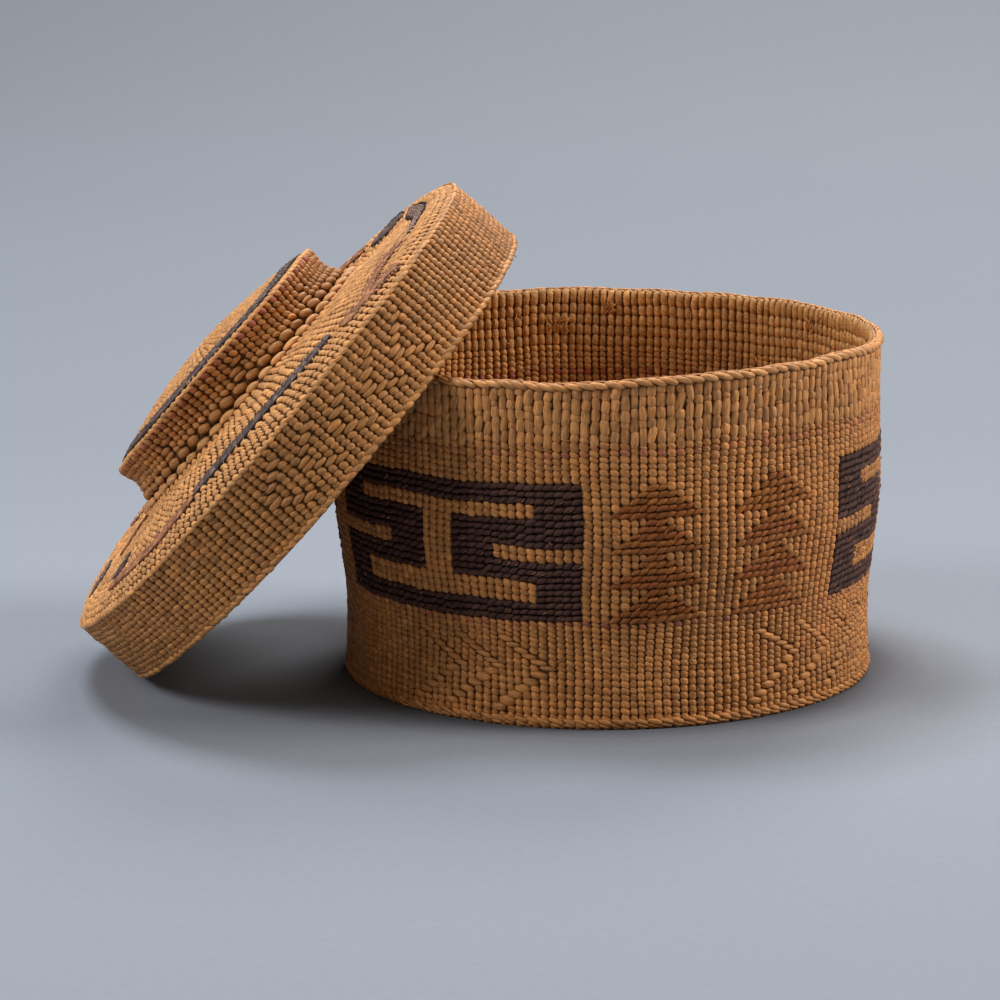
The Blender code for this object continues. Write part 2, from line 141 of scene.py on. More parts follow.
# Leaves: name, dye, angles, radii, full width, and the power that moves the widest place
LID_LEAVES = (
    ("dark_leaf_1", "grey", (-19.0, -5.0, 10.0, 20.0, 28.0), (67.6, 67.6, 66.6, 67.4, 71.4), 6.0, 1.3),
    ("dark_leaf_2", "dark", (46.5, 38.6, 31.0), (67.8, 69.2, 69.4), 9.2, 1.0),
    ("dark_leaf_3", "dark", (-175.0, -180.0, -194.0), (72.0, 68.2, 66.4), 5.0, 1.0),
    ("dark_leaf_4", "dark", (-148.5, -144.0, -141.0), (66.6, 65.2, 61.8), 4.4, 1.0),
    ("brown_leaf", "brown", (-161.0, -150.0), (57.5, 46.5), 4.0, 1.0))

# Colours, as linear red, green, blue
ROOT = (0.542, 0.218, 0.056)
ROOT_RIM = (0.59, 0.255, 0.075)
ROOT_PALE = (0.700, 0.325, 0.105)
ROOT_TOP = (0.740, 0.345, 0.112)
ROOT_LID = (0.470, 0.196, 0.050)
ROOT_MOUTH = (0.53, 0.228, 0.062)
ROOT_EDGE = (0.58, 0.258, 0.078)
ROOT_INSIDE = (0.55, 0.262, 0.082)
ROOT_RED = (0.36, 0.088, 0.058)
# Painted shade: the weave's inside, made dark for where it shows in the gaps between the stitches.
CORE = (0.15, 0.062, 0.018)
STONE = (0.22, 0.20, 0.18)
DARK = (0.080, 0.034, 0.024)
# Painted shade: near-black beads under the fret strands stand for the shade in the gaps between them.
FRET_GAP_SHADE = (0.016, 0.008, 0.007)
SLIVER = (0.30, 0.15, 0.06)
# Painted shade: the rust dye darkened, for beads under the triangle strands that stand for the shade between
# them.
TRIANGLE_GAP_SHADE = (0.14, 0.050, 0.018)
DYES = {"o": (0.34, 0.112, 0.020), "r": (0.31, 0.090, 0.018), "t": (0.30, 0.102, 0.022)}
MARK_GROUND = {"dark": (0.070, 0.044, 0.038), "grey": (0.13, 0.080, 0.060), "brown": (0.35, 0.140, 0.060)}
MARK_STREAK = {"dark": (0.20, 0.138, 0.118), "grey": (0.27, 0.170, 0.125), "brown": (0.46, 0.205, 0.092)}
# MARK_EDGE: the bands' dark outlines, darkened further as painted shade along their sides.
MARK_EDGE = {"dark": (0.032, 0.019, 0.017), "grey": (0.036, 0.022, 0.019), "brown": (0.28, 0.105, 0.050)}

# Rings of a bead, from its edge to near its top: width, length and height as shares of its own
PLUMP = ((1.0, 1.0, 0.0), (0.87, 0.955, 0.5), (0.50, 0.80, 0.88))
ROUND = ((1.0, 1.0, 0.0), (0.88, 0.88, 0.5), (0.52, 0.52, 0.88))
SMALL = ((1.0, 1.0, 0.0), (0.68, 0.86, 0.74))
BEAD_FOOT = -0.5

# Kinds of bead: its rings, the sides of its outline, and how square that is
RIB_BEAD = (PLUMP, 10, 2.4)
SCALE_BEAD = (PLUMP, 10, 2.3)
OVAL_BEAD = (ROUND, 10, 2.6)
STRAND_BEAD = (ROUND, 12, 2.6)
RIM_BEAD = (PLUMP, 12, 3.2)
FLAT_BEAD = (PLUMP, 10, 2.05)
INNER_BEAD = (SMALL, 8, 2.5)


def ease(share):
    share = np.clip(share, 0.0, 1.0)
    return share * share * (3.0 - 2.0 * share)


def mix(low, high, share):
    return low + (high - low) * share


def waver(seed, angle, along, waves=(2, 3, 5, 7), run=40.0):
    """Slow wander, about -1 to 1, that closes on itself round the axis."""
    draw = np.random.default_rng(seed)
    total = 0.0
    for count in waves:
        start, slope = draw.uniform(0, 2 * np.pi), draw.normal()
        total = total + np.sin(count * np.radians(angle) + slope * along / run * np.pi + start)
    return total / math.sqrt(len(waves))


# Turned surfaces

def wall_radius(height):
    upper = mix(WAIST_RADIUS, RIM_RADIUS, ease((height - WAIST) / (SHOULDER - WAIST)))
    lower = mix(FOOT_RADIUS, WAIST_RADIUS, ease(height / WAIST))
    return np.where(height >= WAIST, upper, lower)


def top_height(radius):
    roll = ease((LID_OUTER - radius) / ROLL_WIDTH)
    slope = np.clip((LID_OUTER - ROLL_WIDTH - radius) / (LID_OUTER - ROLL_WIDTH - KNOB_FOOT), 0, 1)
    fillet = ease((KNOB_FOOT + FILLET_WIDTH - radius) / FILLET_WIDTH)
    return LID_DEPTH + ROLL_RISE * roll + SLOPE_RISE * slope + FILLET_RISE * fillet


def knob_radius(height):
    share = (height - KNOB_BASE) / (KNOB_EDGE - KNOB_BASE)
    return np.where(share < 0.5, mix(KNOB_FOOT, KNOB_WAIST, ease(share * 2)),
                    mix(KNOB_WAIST, KNOB_TOP, ease(share * 2 - 1)))


def knob_top_height(radius):
    return KNOB_EDGE + KNOB_DOME * (1 - (radius / KNOB_TOP) ** 2)


def bend_basket(points):
    """Lets the rim rise and fall and the wall stray a little, as in the photograph."""
    x, y, z = points.T
    angle = np.degrees(np.arctan2(y, x))
    turn = np.radians(angle + 2.8)
    share = np.clip(z / HEIGHT, 0, 1)
    wave = 0.19 * np.cos(2 * turn) - 1.25 * np.sin(2 * turn)
    wave = wave - 0.28 * np.cos(3 * turn) + 0.17 * np.sin(3 * turn)
    far_rest = 0.8 * np.exp(-((angle - LID_RESTS) / 20) ** 2)
    near_rest = 0.35 * np.exp(-((angle + LID_RESTS) / 20) ** 2)
    ripple = 0.22 * waver(11, angle, 0.0, (9, 14, 19, 25)) * share ** 6
    rise = wave * (1 - (far_rest + near_rest)) * share ** 2 + ripple
    free = 1 - np.exp(-((np.abs(angle) - LID_RESTS) / 25) ** 2)
    sway = 0.45 * waver(12, angle, z, (3, 4, 6, 9), 70) * share * free
    stretch = 1 + sway / np.maximum(np.hypot(x, y), 20)
    return np.stack([x * stretch, y * stretch, z + rise], 1)


LID_TURN = math.radians(LEAN)
LID_AXES = np.array([[math.cos(LID_TURN), 0, math.sin(LID_TURN)], [0, 1, 0],
                     [-math.sin(LID_TURN), 0, math.cos(LID_TURN)]])


def bend_lid(points):
    """Tilts the knob and what is near it, then puts the lid in its leaning place."""
    x, y, z = points.T
    radius = np.hypot(x, y)
    angle = np.degrees(np.arctan2(y, x))
    near_knob = ease((LID_OUTER - 3.0 - radius) / 26.0)
    rise = -y * math.tan(math.radians(KNOB_TILT)) * near_knob
    rise = rise + 0.25 * waver(21, angle, radius, (2, 3, 5), 60)
    lower = 1.2 * ease((-x - 10.0) / 45.0) + 0.9 * ease((y + 50.0) / 70.0) + 0.5 * near_knob
    rise = rise - lower * np.clip(z / LID_DEPTH, 0, 1)
    stretch = 1 + 0.3 * waver(22, angle, z, (2, 3, 5), 60) / np.maximum(radius, 20) * ease(radius / 40)
    local = np.stack([x * stretch, y * stretch, z + rise], 1)
    return local @ LID_AXES + np.array(LID_MIDDLE)


BENDS = {"basket": bend_basket, "lid": bend_lid}


class Turned:
    """Surface turned round an axis. Its outline goes with the outside on its right."""

    def __init__(self, outline, bend):
        points = np.array(outline, float)
        fine = [points[:1]]
        for first, second in zip(points, points[1:]):
            steps = max(1, int(np.ceil(np.hypot(*(second - first)) / 0.5)))
            fine.append(first + (second - first) * (np.arange(1, steps + 1) / steps)[:, None])
        self.points = np.concatenate(fine)
        self.length = np.concatenate([[0], np.cumsum(np.hypot(*np.diff(self.points, axis=0).T))])
        run = np.gradient(self.points, self.length, axis=0)
        self.normals = np.stack([run[:, 1], -run[:, 0]], 1)
        self.bend = bend
        self.end = self.length[-1]

    def radius(self, along):
        return np.interp(along, self.length, self.points[:, 0])

    def at(self, angle, along, lift):
        radius, height = (np.interp(along, self.length, self.points[:, k]) for k in (0, 1))
        out, up = (np.interp(along, self.length, self.normals[:, k]) for k in (0, 1))
        size = np.maximum(np.hypot(out, up), 1e-6)
        radius = radius + out / size * lift
        height = height + up / size * lift
        turn = np.radians(angle)
        points = np.stack([radius * np.cos(turn), radius * np.sin(turn), height], -1)
        return self.bend(points.reshape(-1, 3))


def evenly(low, high, step=1.5):
    return np.linspace(low, high, max(2, int(abs(high - low) / step)))


def under(outline, depth):
    """The same outline walked back, depth below it: the other side of a wall."""
    outline = np.array(outline, float)
    run = np.gradient(outline, axis=0)
    run /= np.hypot(*run.T)[:, None]
    inner = outline - np.stack([run[:, 1], -run[:, 0]], 1) * depth
    inner[:, 0] = np.maximum(inner[:, 0], 0.0)
    return inner[::-1]


OUTSIDE_LINE = [(wall_radius(z), z) for z in evenly(0.0, OUTSIDE_TOP)]
INSIDE_LINE = [(wall_radius(z), z) for z in evenly(0.0, INSIDE_TOP)]
TOP_LINE = [(r, top_height(r)) for r in evenly(LID_OUTER, CHAMBER_FLOOR - 0.6, 0.8)]
KNOB_LINE = [(knob_radius(z), z) for z in evenly(KNOB_BASE, KNOB_EDGE, 0.8)]
KNOB_TOP_LINE = [(r, knob_top_height(r)) for r in evenly(KNOB_TOP, 0.0)]

wall_outside = Turned(OUTSIDE_LINE, bend_basket)
wall_inside = Turned(under(INSIDE_LINE, WALL), bend_basket)
base_below = Turned([(0, 0.75), (FOOT_RADIUS - 0.8, 0.75)], bend_basket)
base_above = Turned([(FOOT_RADIUS - WALL, BASE_THICKNESS), (0, BASE_THICKNESS)], bend_basket)
flange_outside = Turned([(LID_OUTER, 0.0), (LID_OUTER, LID_DEPTH)], bend_lid)
flange_inside = Turned([(LID_INNER, LID_DEPTH - LID_WALL), (LID_INNER, 0.0)], bend_lid)
top_outside = Turned(TOP_LINE, bend_lid)
top_inside = Turned(under(TOP_LINE, LID_WALL), bend_lid)
knob_outside = Turned(KNOB_LINE, bend_lid)
knob_top_outside = Turned(KNOB_TOP_LINE, bend_lid)
floor_below = Turned([(0, KNOB_BASE - LID_WALL), (CHAMBER_FLOOR, KNOB_BASE - LID_WALL)], bend_lid)


def rounded(inner, outer, low, high, first=-60.0, last=240.0):
    """Outline over a braid's section, from its outer side over the top to its inner side."""
    turns = np.radians(np.linspace(first, last, 24))
    return [(mix(inner, outer, 0.5) + (outer - inner) / 2 * math.cos(turn),
             mix(low, high, 0.5) + (high - low) / 2 * math.sin(turn)) for turn in turns]


# Meshes

def add_object(name, data):
    made = bpy.data.objects.new(name, data)
    bpy.context.scene.collection.objects.link(made)
    return made


def mesh_object(name, points, quads, tris):
    mesh = bpy.data.meshes.new(name)
    mesh.vertices.add(len(points))
    mesh.vertices.foreach_set("co", (points * MM).astype(np.float32).ravel())
    loops = np.concatenate([quads.ravel(), tris.ravel()]).astype(np.int32)
    starts = np.concatenate([np.arange(len(quads)) * 4, len(quads) * 4 + np.arange(len(tris)) * 3])
    mesh.loops.add(len(loops))
    mesh.loops.foreach_set("vertex_index", loops)
    mesh.polygons.add(len(starts))
    mesh.polygons.foreach_set("loop_start", starts.astype(np.int32))
    mesh.update(calc_edges=True)
    mesh.validate()
    mesh.shade_smooth()
    return add_object(name, mesh)


def put_attribute(mesh, name, kind, values):
    layer = mesh.attributes.new(name, kind, "POINT")
    field = {"FLOAT": "value", "FLOAT_VECTOR": "vector", "FLOAT_COLOR": "color"}[kind]
    layer.data.foreach_set(field, np.ascontiguousarray(values, np.float32).ravel())


def template(rings, sides, square):
    """Points and faces of one bead: its rings, with a tip above and one below."""
    turn = (np.arange(sides) + 0.5) / sides * 2 * np.pi
    outline = [np.sign(f) * np.abs(f) ** (2 / square) for f in (np.cos(turn), np.sin(turn))]
    outline = np.stack(outline, 1)
    points = [np.column_stack([outline * (wide, tall), np.full(sides, rise)]) for wide, tall, rise in rings]
    points += [np.array([[0, 0, 1.0]]), np.array([[0, 0, BEAD_FOOT]])]
    here = np.arange(sides)
    after = (here + 1) % sides
    quads = [np.stack([here, after, after + sides, here + sides], 1) + ring * sides
             for ring in range(len(rings) - 1)]
    last = (len(rings) - 1) * sides
    tip, foot = len(rings) * sides, len(rings) * sides + 1
    tris = [np.stack([here + last, after + last, np.full(sides, tip)], 1),
            np.stack([after, here, np.full(sides, foot)], 1)]
    return np.concatenate(points), np.concatenate(quads), np.concatenate(tris)


class Stitches:
    """Table of stitches, one row each, that a piece's mesh is made from."""

    FIELDS = ("angle", "along", "wide", "tall", "slant", "shear", "high", "lift", "upright")

    def __init__(self, **columns):
        self.hue = np.asarray(columns.pop("hue"), float)
        count = len(self.hue)
        for field in self.FIELDS:
            column = np.asarray(columns.get(field, 0.0), float)
            setattr(self, field, np.broadcast_to(column, count).copy())

    def take(self, keep):
        return Stitches(hue=self.hue[keep], **{f: getattr(self, f)[keep] for f in self.FIELDS})

    @staticmethod
    def join(*tables):
        return Stitches(hue=np.concatenate([t.hue for t in tables]),
                        **{f: np.concatenate([getattr(t, f) for t in tables]) for f in Stitches.FIELDS})


def weave(name, surface, finish, *tables, bead=OVAL_BEAD, seed=0, node=None):
    """One piece made of all the stitches in some tables."""
    rows = Stitches.join(*tables)
    shape, quads, tris = template(*bead)
    count, each = len(rows.hue), len(shape)
    turn = np.radians(rows.slant)[:, None]
    x = shape[None, :, 0] * rows.wide[:, None]
    y = shape[None, :, 1] * rows.tall[:, None] + x * np.tan(np.radians(rows.shear))[:, None]
    across = x * np.cos(turn) - y * np.sin(turn)
    along = np.clip(rows.along[:, None] + x * np.sin(turn) + y * np.cos(turn), 0.0, surface.end)
    radius = np.maximum(surface.radius(rows.along), 2.0)[:, None]
    angle = rows.angle[:, None] + np.degrees(across / radius)
    lift = rows.lift[:, None] + shape[None, :, 2] * rows.high[:, None]
    points = surface.at(angle.ravel(), along.ravel(), lift.ravel())
    base = (np.arange(count) * each)[:, None, None]
    made = mesh_object(name, points, (quads + base).reshape(-1, 4), (tris + base).reshape(-1, 3))
    offset = np.random.default_rng(seed + 500).uniform(0, 60, (count, 1, 3))
    upright = rows.upright[:, None] > 0
    thick = shape[None, :, 1] * rows.tall[:, None]
    strand = np.stack([np.where(upright, thick, x), np.where(upright, x, thick), lift], 2) + offset
    put_attribute(made.data, "strand", "FLOAT_VECTOR", strand.reshape(-1, 3))
    put_attribute(made.data, "rise", "FLOAT", np.broadcast_to(np.clip(shape[:, 2], 0, 1), (count, each)))
    hue = np.concatenate([rows.hue, np.ones((count, 1))], 1)[:, None, :]
    put_attribute(made.data, "hue", "FLOAT_COLOR", np.broadcast_to(hue, (count, each, 4)))
    atlas(made.data, shape, quads, tris, count)
    finish_piece(made, finish, node)


def atlas(mesh, shape, quads, tris, count):
    """Gives each bead a cell of its own in the OFBake map.

    Its upper side takes the left of the cell, and its underside a strip at the right.
    """
    side = math.ceil(math.sqrt(count))
    cell = np.stack([np.arange(count) % side, np.arange(count) // side], 1)[:, None, :]
    flat = shape[:, :2] / 2 + 0.5
    upper = flat * (0.76, 0.96) + 0.02
    lower = flat * (0.14, 0.96) + (0.84, 0.02)
    below = tris[:, 2] == len(shape) - 1
    corners = np.where(below[:, None, None], lower[tris], upper[tris])
    layer = mesh.uv_layers.new(name="OFBake", do_init=False)
    quad_uv = (upper[quads].reshape(1, -1, 2) + cell) / side
    tri_uv = (corners.reshape(1, -1, 2) + cell) / side
    both = np.concatenate([quad_uv.reshape(-1, 2), tri_uv.reshape(-1, 2)])
    layer.uv.foreach_set("vector", both.astype(np.float32).ravel())


def finish_piece(made, finish, node=None):
    """Gives a piece its body and material, and hides the node that it replaces, if it does."""
    body, slot, look = finish
    made.data.materials.append(look)
    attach(made, body)
    if node:
        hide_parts(node)


def core(name, outline, body, slot, node=None):
    """Closed turned solid behind the stitches: the inside of the weave, coloured dark as painted shade where
    it shows between them.
    """
    outline = np.array(outline, float)
    turns = np.arange(CORE_STEPS)[:, None] * 2 * np.pi / CORE_STEPS
    count = len(outline)
    radius, height = outline[None, :, 0], np.broadcast_to(outline[None, :, 1], (CORE_STEPS, count))
    points = np.stack([radius * np.cos(turns), radius * np.sin(turns), height], 2).reshape(-1, 3)
    here = (np.arange(CORE_STEPS) * count)[:, None]
    there = np.roll(here, -1, 0)
    ring = np.arange(count)[None, :]
    after = (ring + 1) % count
    quads = np.stack([here + ring, there + ring, there + after, here + after], 2).reshape(-1, 4)
    made = mesh_object(name, BENDS[body](points), quads, np.zeros((0, 3), int))
    if outline[:, 0].min() < 1e-6:
        close_axis(made.data)
    finish_piece(made, (body, slot, LOOK_CORE), node)


def close_axis(mesh):
    """Merges the points that meet on the axis."""
    work = bmesh.new()
    work.from_mesh(mesh)
    bmesh.ops.remove_doubles(work, verts=work.verts, dist=2e-6)
    work.to_mesh(mesh)
    work.free()
    mesh.shade_smooth()


# Materials

class Look:
    """A new material, with short ways to add nodes and to join them."""

    def __init__(self, name, gloss):
        self.made = bpy.data.materials.new(name)
        self.made.use_nodes = True
        self.nodes, self.links = self.made.node_tree.nodes, self.made.node_tree.links
        self.shader = self.nodes["Principled BSDF"]
        self.give(self.shader, {"Specular IOR Level": gloss})

    def give(self, node, inputs):
        """Sets a node's inputs to plain values, or links them where another node's output is given."""
        for key, value in inputs.items():
            if isinstance(value, bpy.types.NodeSocket):
                self.links.new(value, node.inputs[key])
            else:
                node.inputs[key].default_value = value

    def add(self, kind, inputs=(), **settings):
        """Adds a node and returns its outputs."""
        node = self.nodes.new("ShaderNode" + kind)
        for key, value in settings.items():
            setattr(node, key, value)
        self.give(node, dict(inputs))
        return node.outputs

    def ramp(self, value, stops):
        """Colour that follows a value, along (place, colour) stops."""
        node = self.nodes.new("ShaderNodeValToRGB")
        elements = node.color_ramp.elements
        while len(elements) < len(stops):
            elements.new(0.5)
        for element, (place, colour) in zip(elements, stops):
            element.position, element.color = place, colour
        self.give(node, {"Fac": value})
        return node.outputs["Color"]

    def bump(self, height, strength, distance):
        normal = self.add("Bump", {"Height": height, "Strength": strength, "Distance": distance})["Normal"]
        self.give(self.shader, {"Normal": normal})


def root_look(name, rough=0.56, fibre=0.36, crease_shade=0.42, gloss=0.40):
    """Split root: the stitch's own colour, fibres along the strand, and painted shade that darkens each
    stitch towards its foot, between the stitches.
    """
    look = Look(name, gloss)

    def spread(value, low, high, start=0.3, end=0.7):
        limits = {"From Min": start, "From Max": end, "To Min": low, "To Max": high}
        return look.add("MapRange", {"Value": value, **limits})["Result"]

    def times(first, second):
        return look.add("Math", {0: first, 1: second}, operation="MULTIPLY")[0]

    strand = look.add("Attribute", attribute_name="strand")["Vector"]
    stretched = look.add("Mapping", {"Vector": strand, "Scale": (0.4, 2.7, 0.8)})["Vector"]
    fibres = look.add("TexNoise", {"Vector": stretched, "Scale": 1.0, "Detail": 3.0})["Fac"]
    patches = look.add("TexNoise", {"Vector": strand, "Scale": 0.45, "Detail": 2.0})["Fac"]
    rise = look.add("Attribute", attribute_name="rise")["Fac"]
    hue = look.add("Attribute", attribute_name="hue")["Color"]
    bright = times(spread(fibres, 1 - fibre, 1 + fibre), spread(patches, 0.86, 1.12))
    # Painted shade: each stitch is darker towards its foot, in the creases between the stitches.
    bright = times(bright, spread(rise, 1 - crease_shade, 1.0, 0.0, 0.7))
    colour = look.add("VectorMath", {0: hue, "Scale": bright}, operation="SCALE")[0]
    look.give(look.shader, {"Base Color": colour, "Roughness": spread(fibres, rough + 0.12, rough - 0.10)})
    look.bump(fibres, 0.5, 0.00012)
    return look.made


def plain_look(name, colour, rough, scale, contrast=0.25, bump_depth=0.0002, gloss=0.3):
    """Two tones in a fine grain, for cores, stones and the backdrop."""
    look = Look(name, gloss)
    where = look.add("TexCoord")["Object"]
    grain = look.add("TexNoise", {"Vector": where, "Scale": scale, "Detail": 4.0})["Fac"]
    darker, lighter = ((*[c * share for c in colour], 1) for share in (1 - contrast, 1 + contrast))
    colour = look.ramp(grain, ((0.3, darker), (0.7, lighter)))
    look.give(look.shader, {"Roughness": rough, "Base Color": colour})
    look.bump(grain, 0.4, bump_depth)
    return look


# crease_shade sets how dark the painted shade in the creases between the stitches is.
LOOK_ROOT = root_look("root_stitches")
LOOK_LID = root_look("lid_stitches", crease_shade=0.58)
LOOK_BRAID = root_look("braid_strands", rough=0.52, crease_shade=0.34)
LOOK_INSIDE = root_look("inside_stitches", rough=0.68, crease_shade=0.32, gloss=0.3)
LOOK_DARK = root_look("dark_strands", rough=0.64, fibre=0.42, crease_shade=0.45, gloss=0.2)
LOOK_RUST = root_look("rust_strands", rough=0.62, fibre=0.40, crease_shade=0.50, gloss=0.25)
LOOK_CORE = plain_look("weave_core", CORE, 0.9, 700.0).made
LOOK_STONE = plain_look("pebble_stone", STONE, 0.5, 900.0, 0.35).made

# Finishes: the body that a piece rides on, the record's slot, and the material
ON_WALL = ("basket", "root_tan", LOOK_ROOT)
ON_RIM = ("basket", "root_light", LOOK_BRAID)
IN_BASKET = ("basket", "root_inner", LOOK_INSIDE)
ON_FRET = ("basket", "dyed_dark", LOOK_DARK)
ON_TRIANGLE = ("basket", "dyed_rust", LOOK_RUST)
ON_LID = ("lid", "root_tan", LOOK_LID)
ON_LID_BRAID = ("lid", "root_light", LOOK_BRAID)
ON_KNOB_FOOT = ("lid", "root_light", LOOK_LID)
ON_LID_DARK = ("lid", "dyed_dark", LOOK_DARK)
ON_LID_RUST = ("lid", "dyed_rust", LOOK_RUST)
IN_LID = ("lid", "root_inner", LOOK_INSIDE)


# Layout of the weave

def rib_edges(count, seed, uneven=0.06, start=PATTERN_START, spans=REPEAT_SPANS):
    """Angles between the ribs. The ribs of a repeat share its span unevenly."""
    draw = np.random.default_rng(seed)
    edges = [start]
    for span in spans:
        each = np.clip(1 + uneven * draw.normal(size=count // len(spans)), 0.8, 1.2)
        edges.extend(edges[-1] + np.cumsum(each) * span / each.sum())
    return np.array(edges)


def tones(draw, count, base, spread):
    """Colours near a base colour, lighter or darker and redder or yellower from stitch to stitch."""
    light = np.exp(draw.normal(0, spread, (count, 1)))
    shift = draw.normal(0, 0.03, (count, 1))
    return np.array(base) * light * np.concatenate([1 + 0.3 * shift, 1 - shift * 0.4, 1 - 1.6 * shift], 1)


class Grid:
    """Ribs and rows of plain twining, before some of its stitches are merged or dyed."""

    def __init__(self, surface, edges, rows, seed, sway, ragged=0.0, ragged_from=math.inf):
        draw = np.random.default_rng(seed)
        rows = np.asarray(rows, float)
        ribs = len(edges) - 1
        self.surface, self.ribs, self.count = surface, ribs, len(rows) - 1
        level = np.repeat(rows[:, None], ribs, 1)
        middle = (edges[:-1] + edges[1:]) / 2
        drift = sway * waver(seed + 1, middle[None, :], level, (4, 7, 11, 16), 25)
        drift[0] *= 0.3
        drift[-1] = 0.0
        step = np.diff(rows).mean()
        noise = draw.normal(0, 0.07, level.shape) * step
        rough = rows >= ragged_from
        noise[rough] = draw.normal(0, ragged, (int(rough.sum()), ribs)) * step
        noise[0] = noise[-1] = 0
        level = np.sort(level + drift + noise, 0)
        self.low, self.high = level[:-1], level[1:]
        self.middle = np.repeat(middle[None, :], self.count, 0)
        self.middle = self.middle + 0.22 * waver(seed + 2, self.middle, self.low, (5, 9, 14), 18)
        self.width = np.repeat(np.diff(edges)[None, :], self.count, 0)
        self.used = np.zeros((self.count, ribs), bool)

    def stitch_size(self, row, rib, wide=1.0):
        along = (self.low[row, rib] + self.high[row, rib]) / 2
        half = np.radians(self.width[row, rib]) * self.surface.radius(along) / 2 * wide
        return along, half, (self.high[row, rib] - self.low[row, rib]) / 2

    def plain(self, base, seed, slant=-5.0, shear=-13.0, high=0.9, lift=-0.5, fill=(1.12, 1.2), reds=(),
              red_share=(0.25, 0.75), upright_from=1000, mask=None):
        """Stitches of every cell that nothing else has used, or of the cells of a mask."""
        draw = np.random.default_rng(seed)
        row, rib = np.nonzero(~self.used if mask is None else mask)
        along, half, tall = self.stitch_size(row, rib)
        count = len(row)
        hue = tones(draw, count, base, 0.09)
        rib_tone = np.exp(draw.normal(0, 0.04, self.ribs))[rib]
        row_tone = np.exp(draw.normal(0, 0.03, self.count))[row]
        broad = 1 + 0.07 * waver(seed + 5, self.middle[row, rib], along, (2, 3, 5), 30)
        hue = hue * (rib_tone * row_tone * broad)[:, None]
        for red_row, every in reds:
            dyed = (row == red_row) & (rib % every == 0)
            share = draw.uniform(*red_share, (int(dyed.sum()), 1))
            hue[dyed] = mix(hue[dyed], np.array(ROOT_RED), share)
        upright = row >= upright_from
        loose = np.where(upright, 2.0, 1.0)
        return Stitches(angle=self.middle[row, rib], along=along,
                        wide=half * fill[0] * (1 + 0.03 * loose * draw.normal(size=count)),
                        tall=tall * fill[1] * draw.normal(1, 0.03, count),
                        slant=slant + 3.5 * loose * draw.normal(size=count), shear=shear,
                        high=high * (1 + 0.07 * loose * draw.normal(size=count)),
                        lift=lift + draw.normal(0, 0.05, count), upright=upright, hue=hue)

    def ovals(self, places, base, seed, slant, high, tall, lift=-0.45, wide=0.95):
        """Long stitches over two ribs, at (row, rib) places."""
        draw = np.random.default_rng(seed)
        chosen = []
        for row, rib in places:
            cells = [(row, rib % self.ribs), (row, (rib + 1) % self.ribs)]
            if 0 <= row < self.count and not any(self.used[cell] for cell in cells):
                for cell in cells:
                    self.used[cell] = True
                chosen.append(cells[0])
        row, rib = np.array(chosen).T
        along, half, height = self.stitch_size(row, rib, 2)
        count = len(row)
        return Stitches(angle=self.middle[row, rib] + self.width[row, rib] / 2, along=along,
                        wide=half * wide, tall=height * tall,
                        slant=slant + draw.normal(0, 4, count), high=high * draw.normal(1, 0.06, count),
                        lift=lift, hue=tones(draw, count, base, 0.07))

    def strands(self, mask, dyes, seed, fill=(0.94, 1.2), stagger=0.25, spread=0.16):
        """Dyed strands over the cells of a mask, each leaning across its row. dyes colours the rows."""
        draw = np.random.default_rng(seed)
        row, rib = np.nonzero(mask & ~self.used)
        self.used |= mask
        along, half, tall = self.stitch_size(row, rib)
        count = len(row)
        hue = dyes(row) * np.exp(draw.normal(0, spread, (count, 1)))
        shift = self.width[row, rib] * stagger * np.array(STRAND_SHIFTS)[row % 4]
        return Stitches(angle=self.middle[row, rib] + shift, along=along,
                        wide=tall * fill[0] * draw.normal(1, 0.05, count),
                        tall=half * fill[1] * draw.normal(1, 0.06, count),
                        slant=90 + draw.normal(0, 2.0, count), shear=STRAND_LEAN + draw.normal(0, 3, count),
                        high=0.85 * draw.normal(1, 0.08, count), lift=-0.24 + draw.normal(0, 0.05, count),
                        hue=hue)


def arrowheads(firsts, top_row, arm, way, turn):
    """(row, rib) places of nested arrowheads: the upper arms, which go out, and the lower ones back."""
    upper = [(top_row - step, first + way * step) for first in firsts for step in range(arm)]
    lower = [(top_row - arm - step, first + way * (arm - turn - step))
             for first in firsts for step in range(arm)]
    return upper, lower


def ring(surface, ends, row_step, count, seeds, sway, base, first=0.0, spans=WHOLE_TURN, **plain):
    """Plain stitches between two places along a surface's outline. seeds are for ribs, rows and stitches."""
    steps = max(1, round(abs(ends[1] - ends[0]) / row_step))
    rows = np.sort(np.linspace(*ends, steps + 1))
    edges = rib_edges(count, seeds[0], 0.05, first, spans)
    return Grid(surface, edges, rows, seeds[1], sway).plain(base, seeds[2], **plain)


def in_thirds(name, surface, finish, table, bead):
    """A large table as three pieces, one for each repeat, so that no mesh grows too large."""
    third = np.floor(((table.angle - PATTERN_START) % 360.0) / THIRD_TURN).astype(int)
    for index in range(3):
        weave(f"{name}_{index + 1}", surface, finish, table.take(third == index), bead=bead, seed=index)


# Basket wall

wall_edges = rib_edges(WARPS, 31)
FOOT_ROWS = 1.87 * np.arange(0, 9)
LOW_ROWS = np.linspace(FOOT_ROWS[-1], BAND_BOTTOM - 1.4, 9)[1:]
BAND_ROWS = BAND_BOTTOM + BAND_ROW * np.arange(0, BAND_COUNT + 1)
UPPER_ROWS = BAND_ROWS[-1] + 1.75 * np.arange(1, 7)
RIM_ROWS = np.linspace(UPPER_ROWS[-1], OUTSIDE_TOP, 6)[1:]
wall_heights = np.concatenate([FOOT_ROWS, LOW_ROWS, BAND_ROWS, UPPER_ROWS, RIM_ROWS])
BAND_FIRST = len(FOOT_ROWS) + len(LOW_ROWS)
BAND_LAST = BAND_FIRST + BAND_COUNT
RIM_FIRST = BAND_LAST + len(UPPER_ROWS)
wall_rows = np.interp(wall_heights, wall_outside.points[:, 1], wall_outside.length)
wall_grid = Grid(wall_outside, wall_edges, wall_rows, 41, 0.3, ragged=0.34, ragged_from=wall_rows[RIM_FIRST])


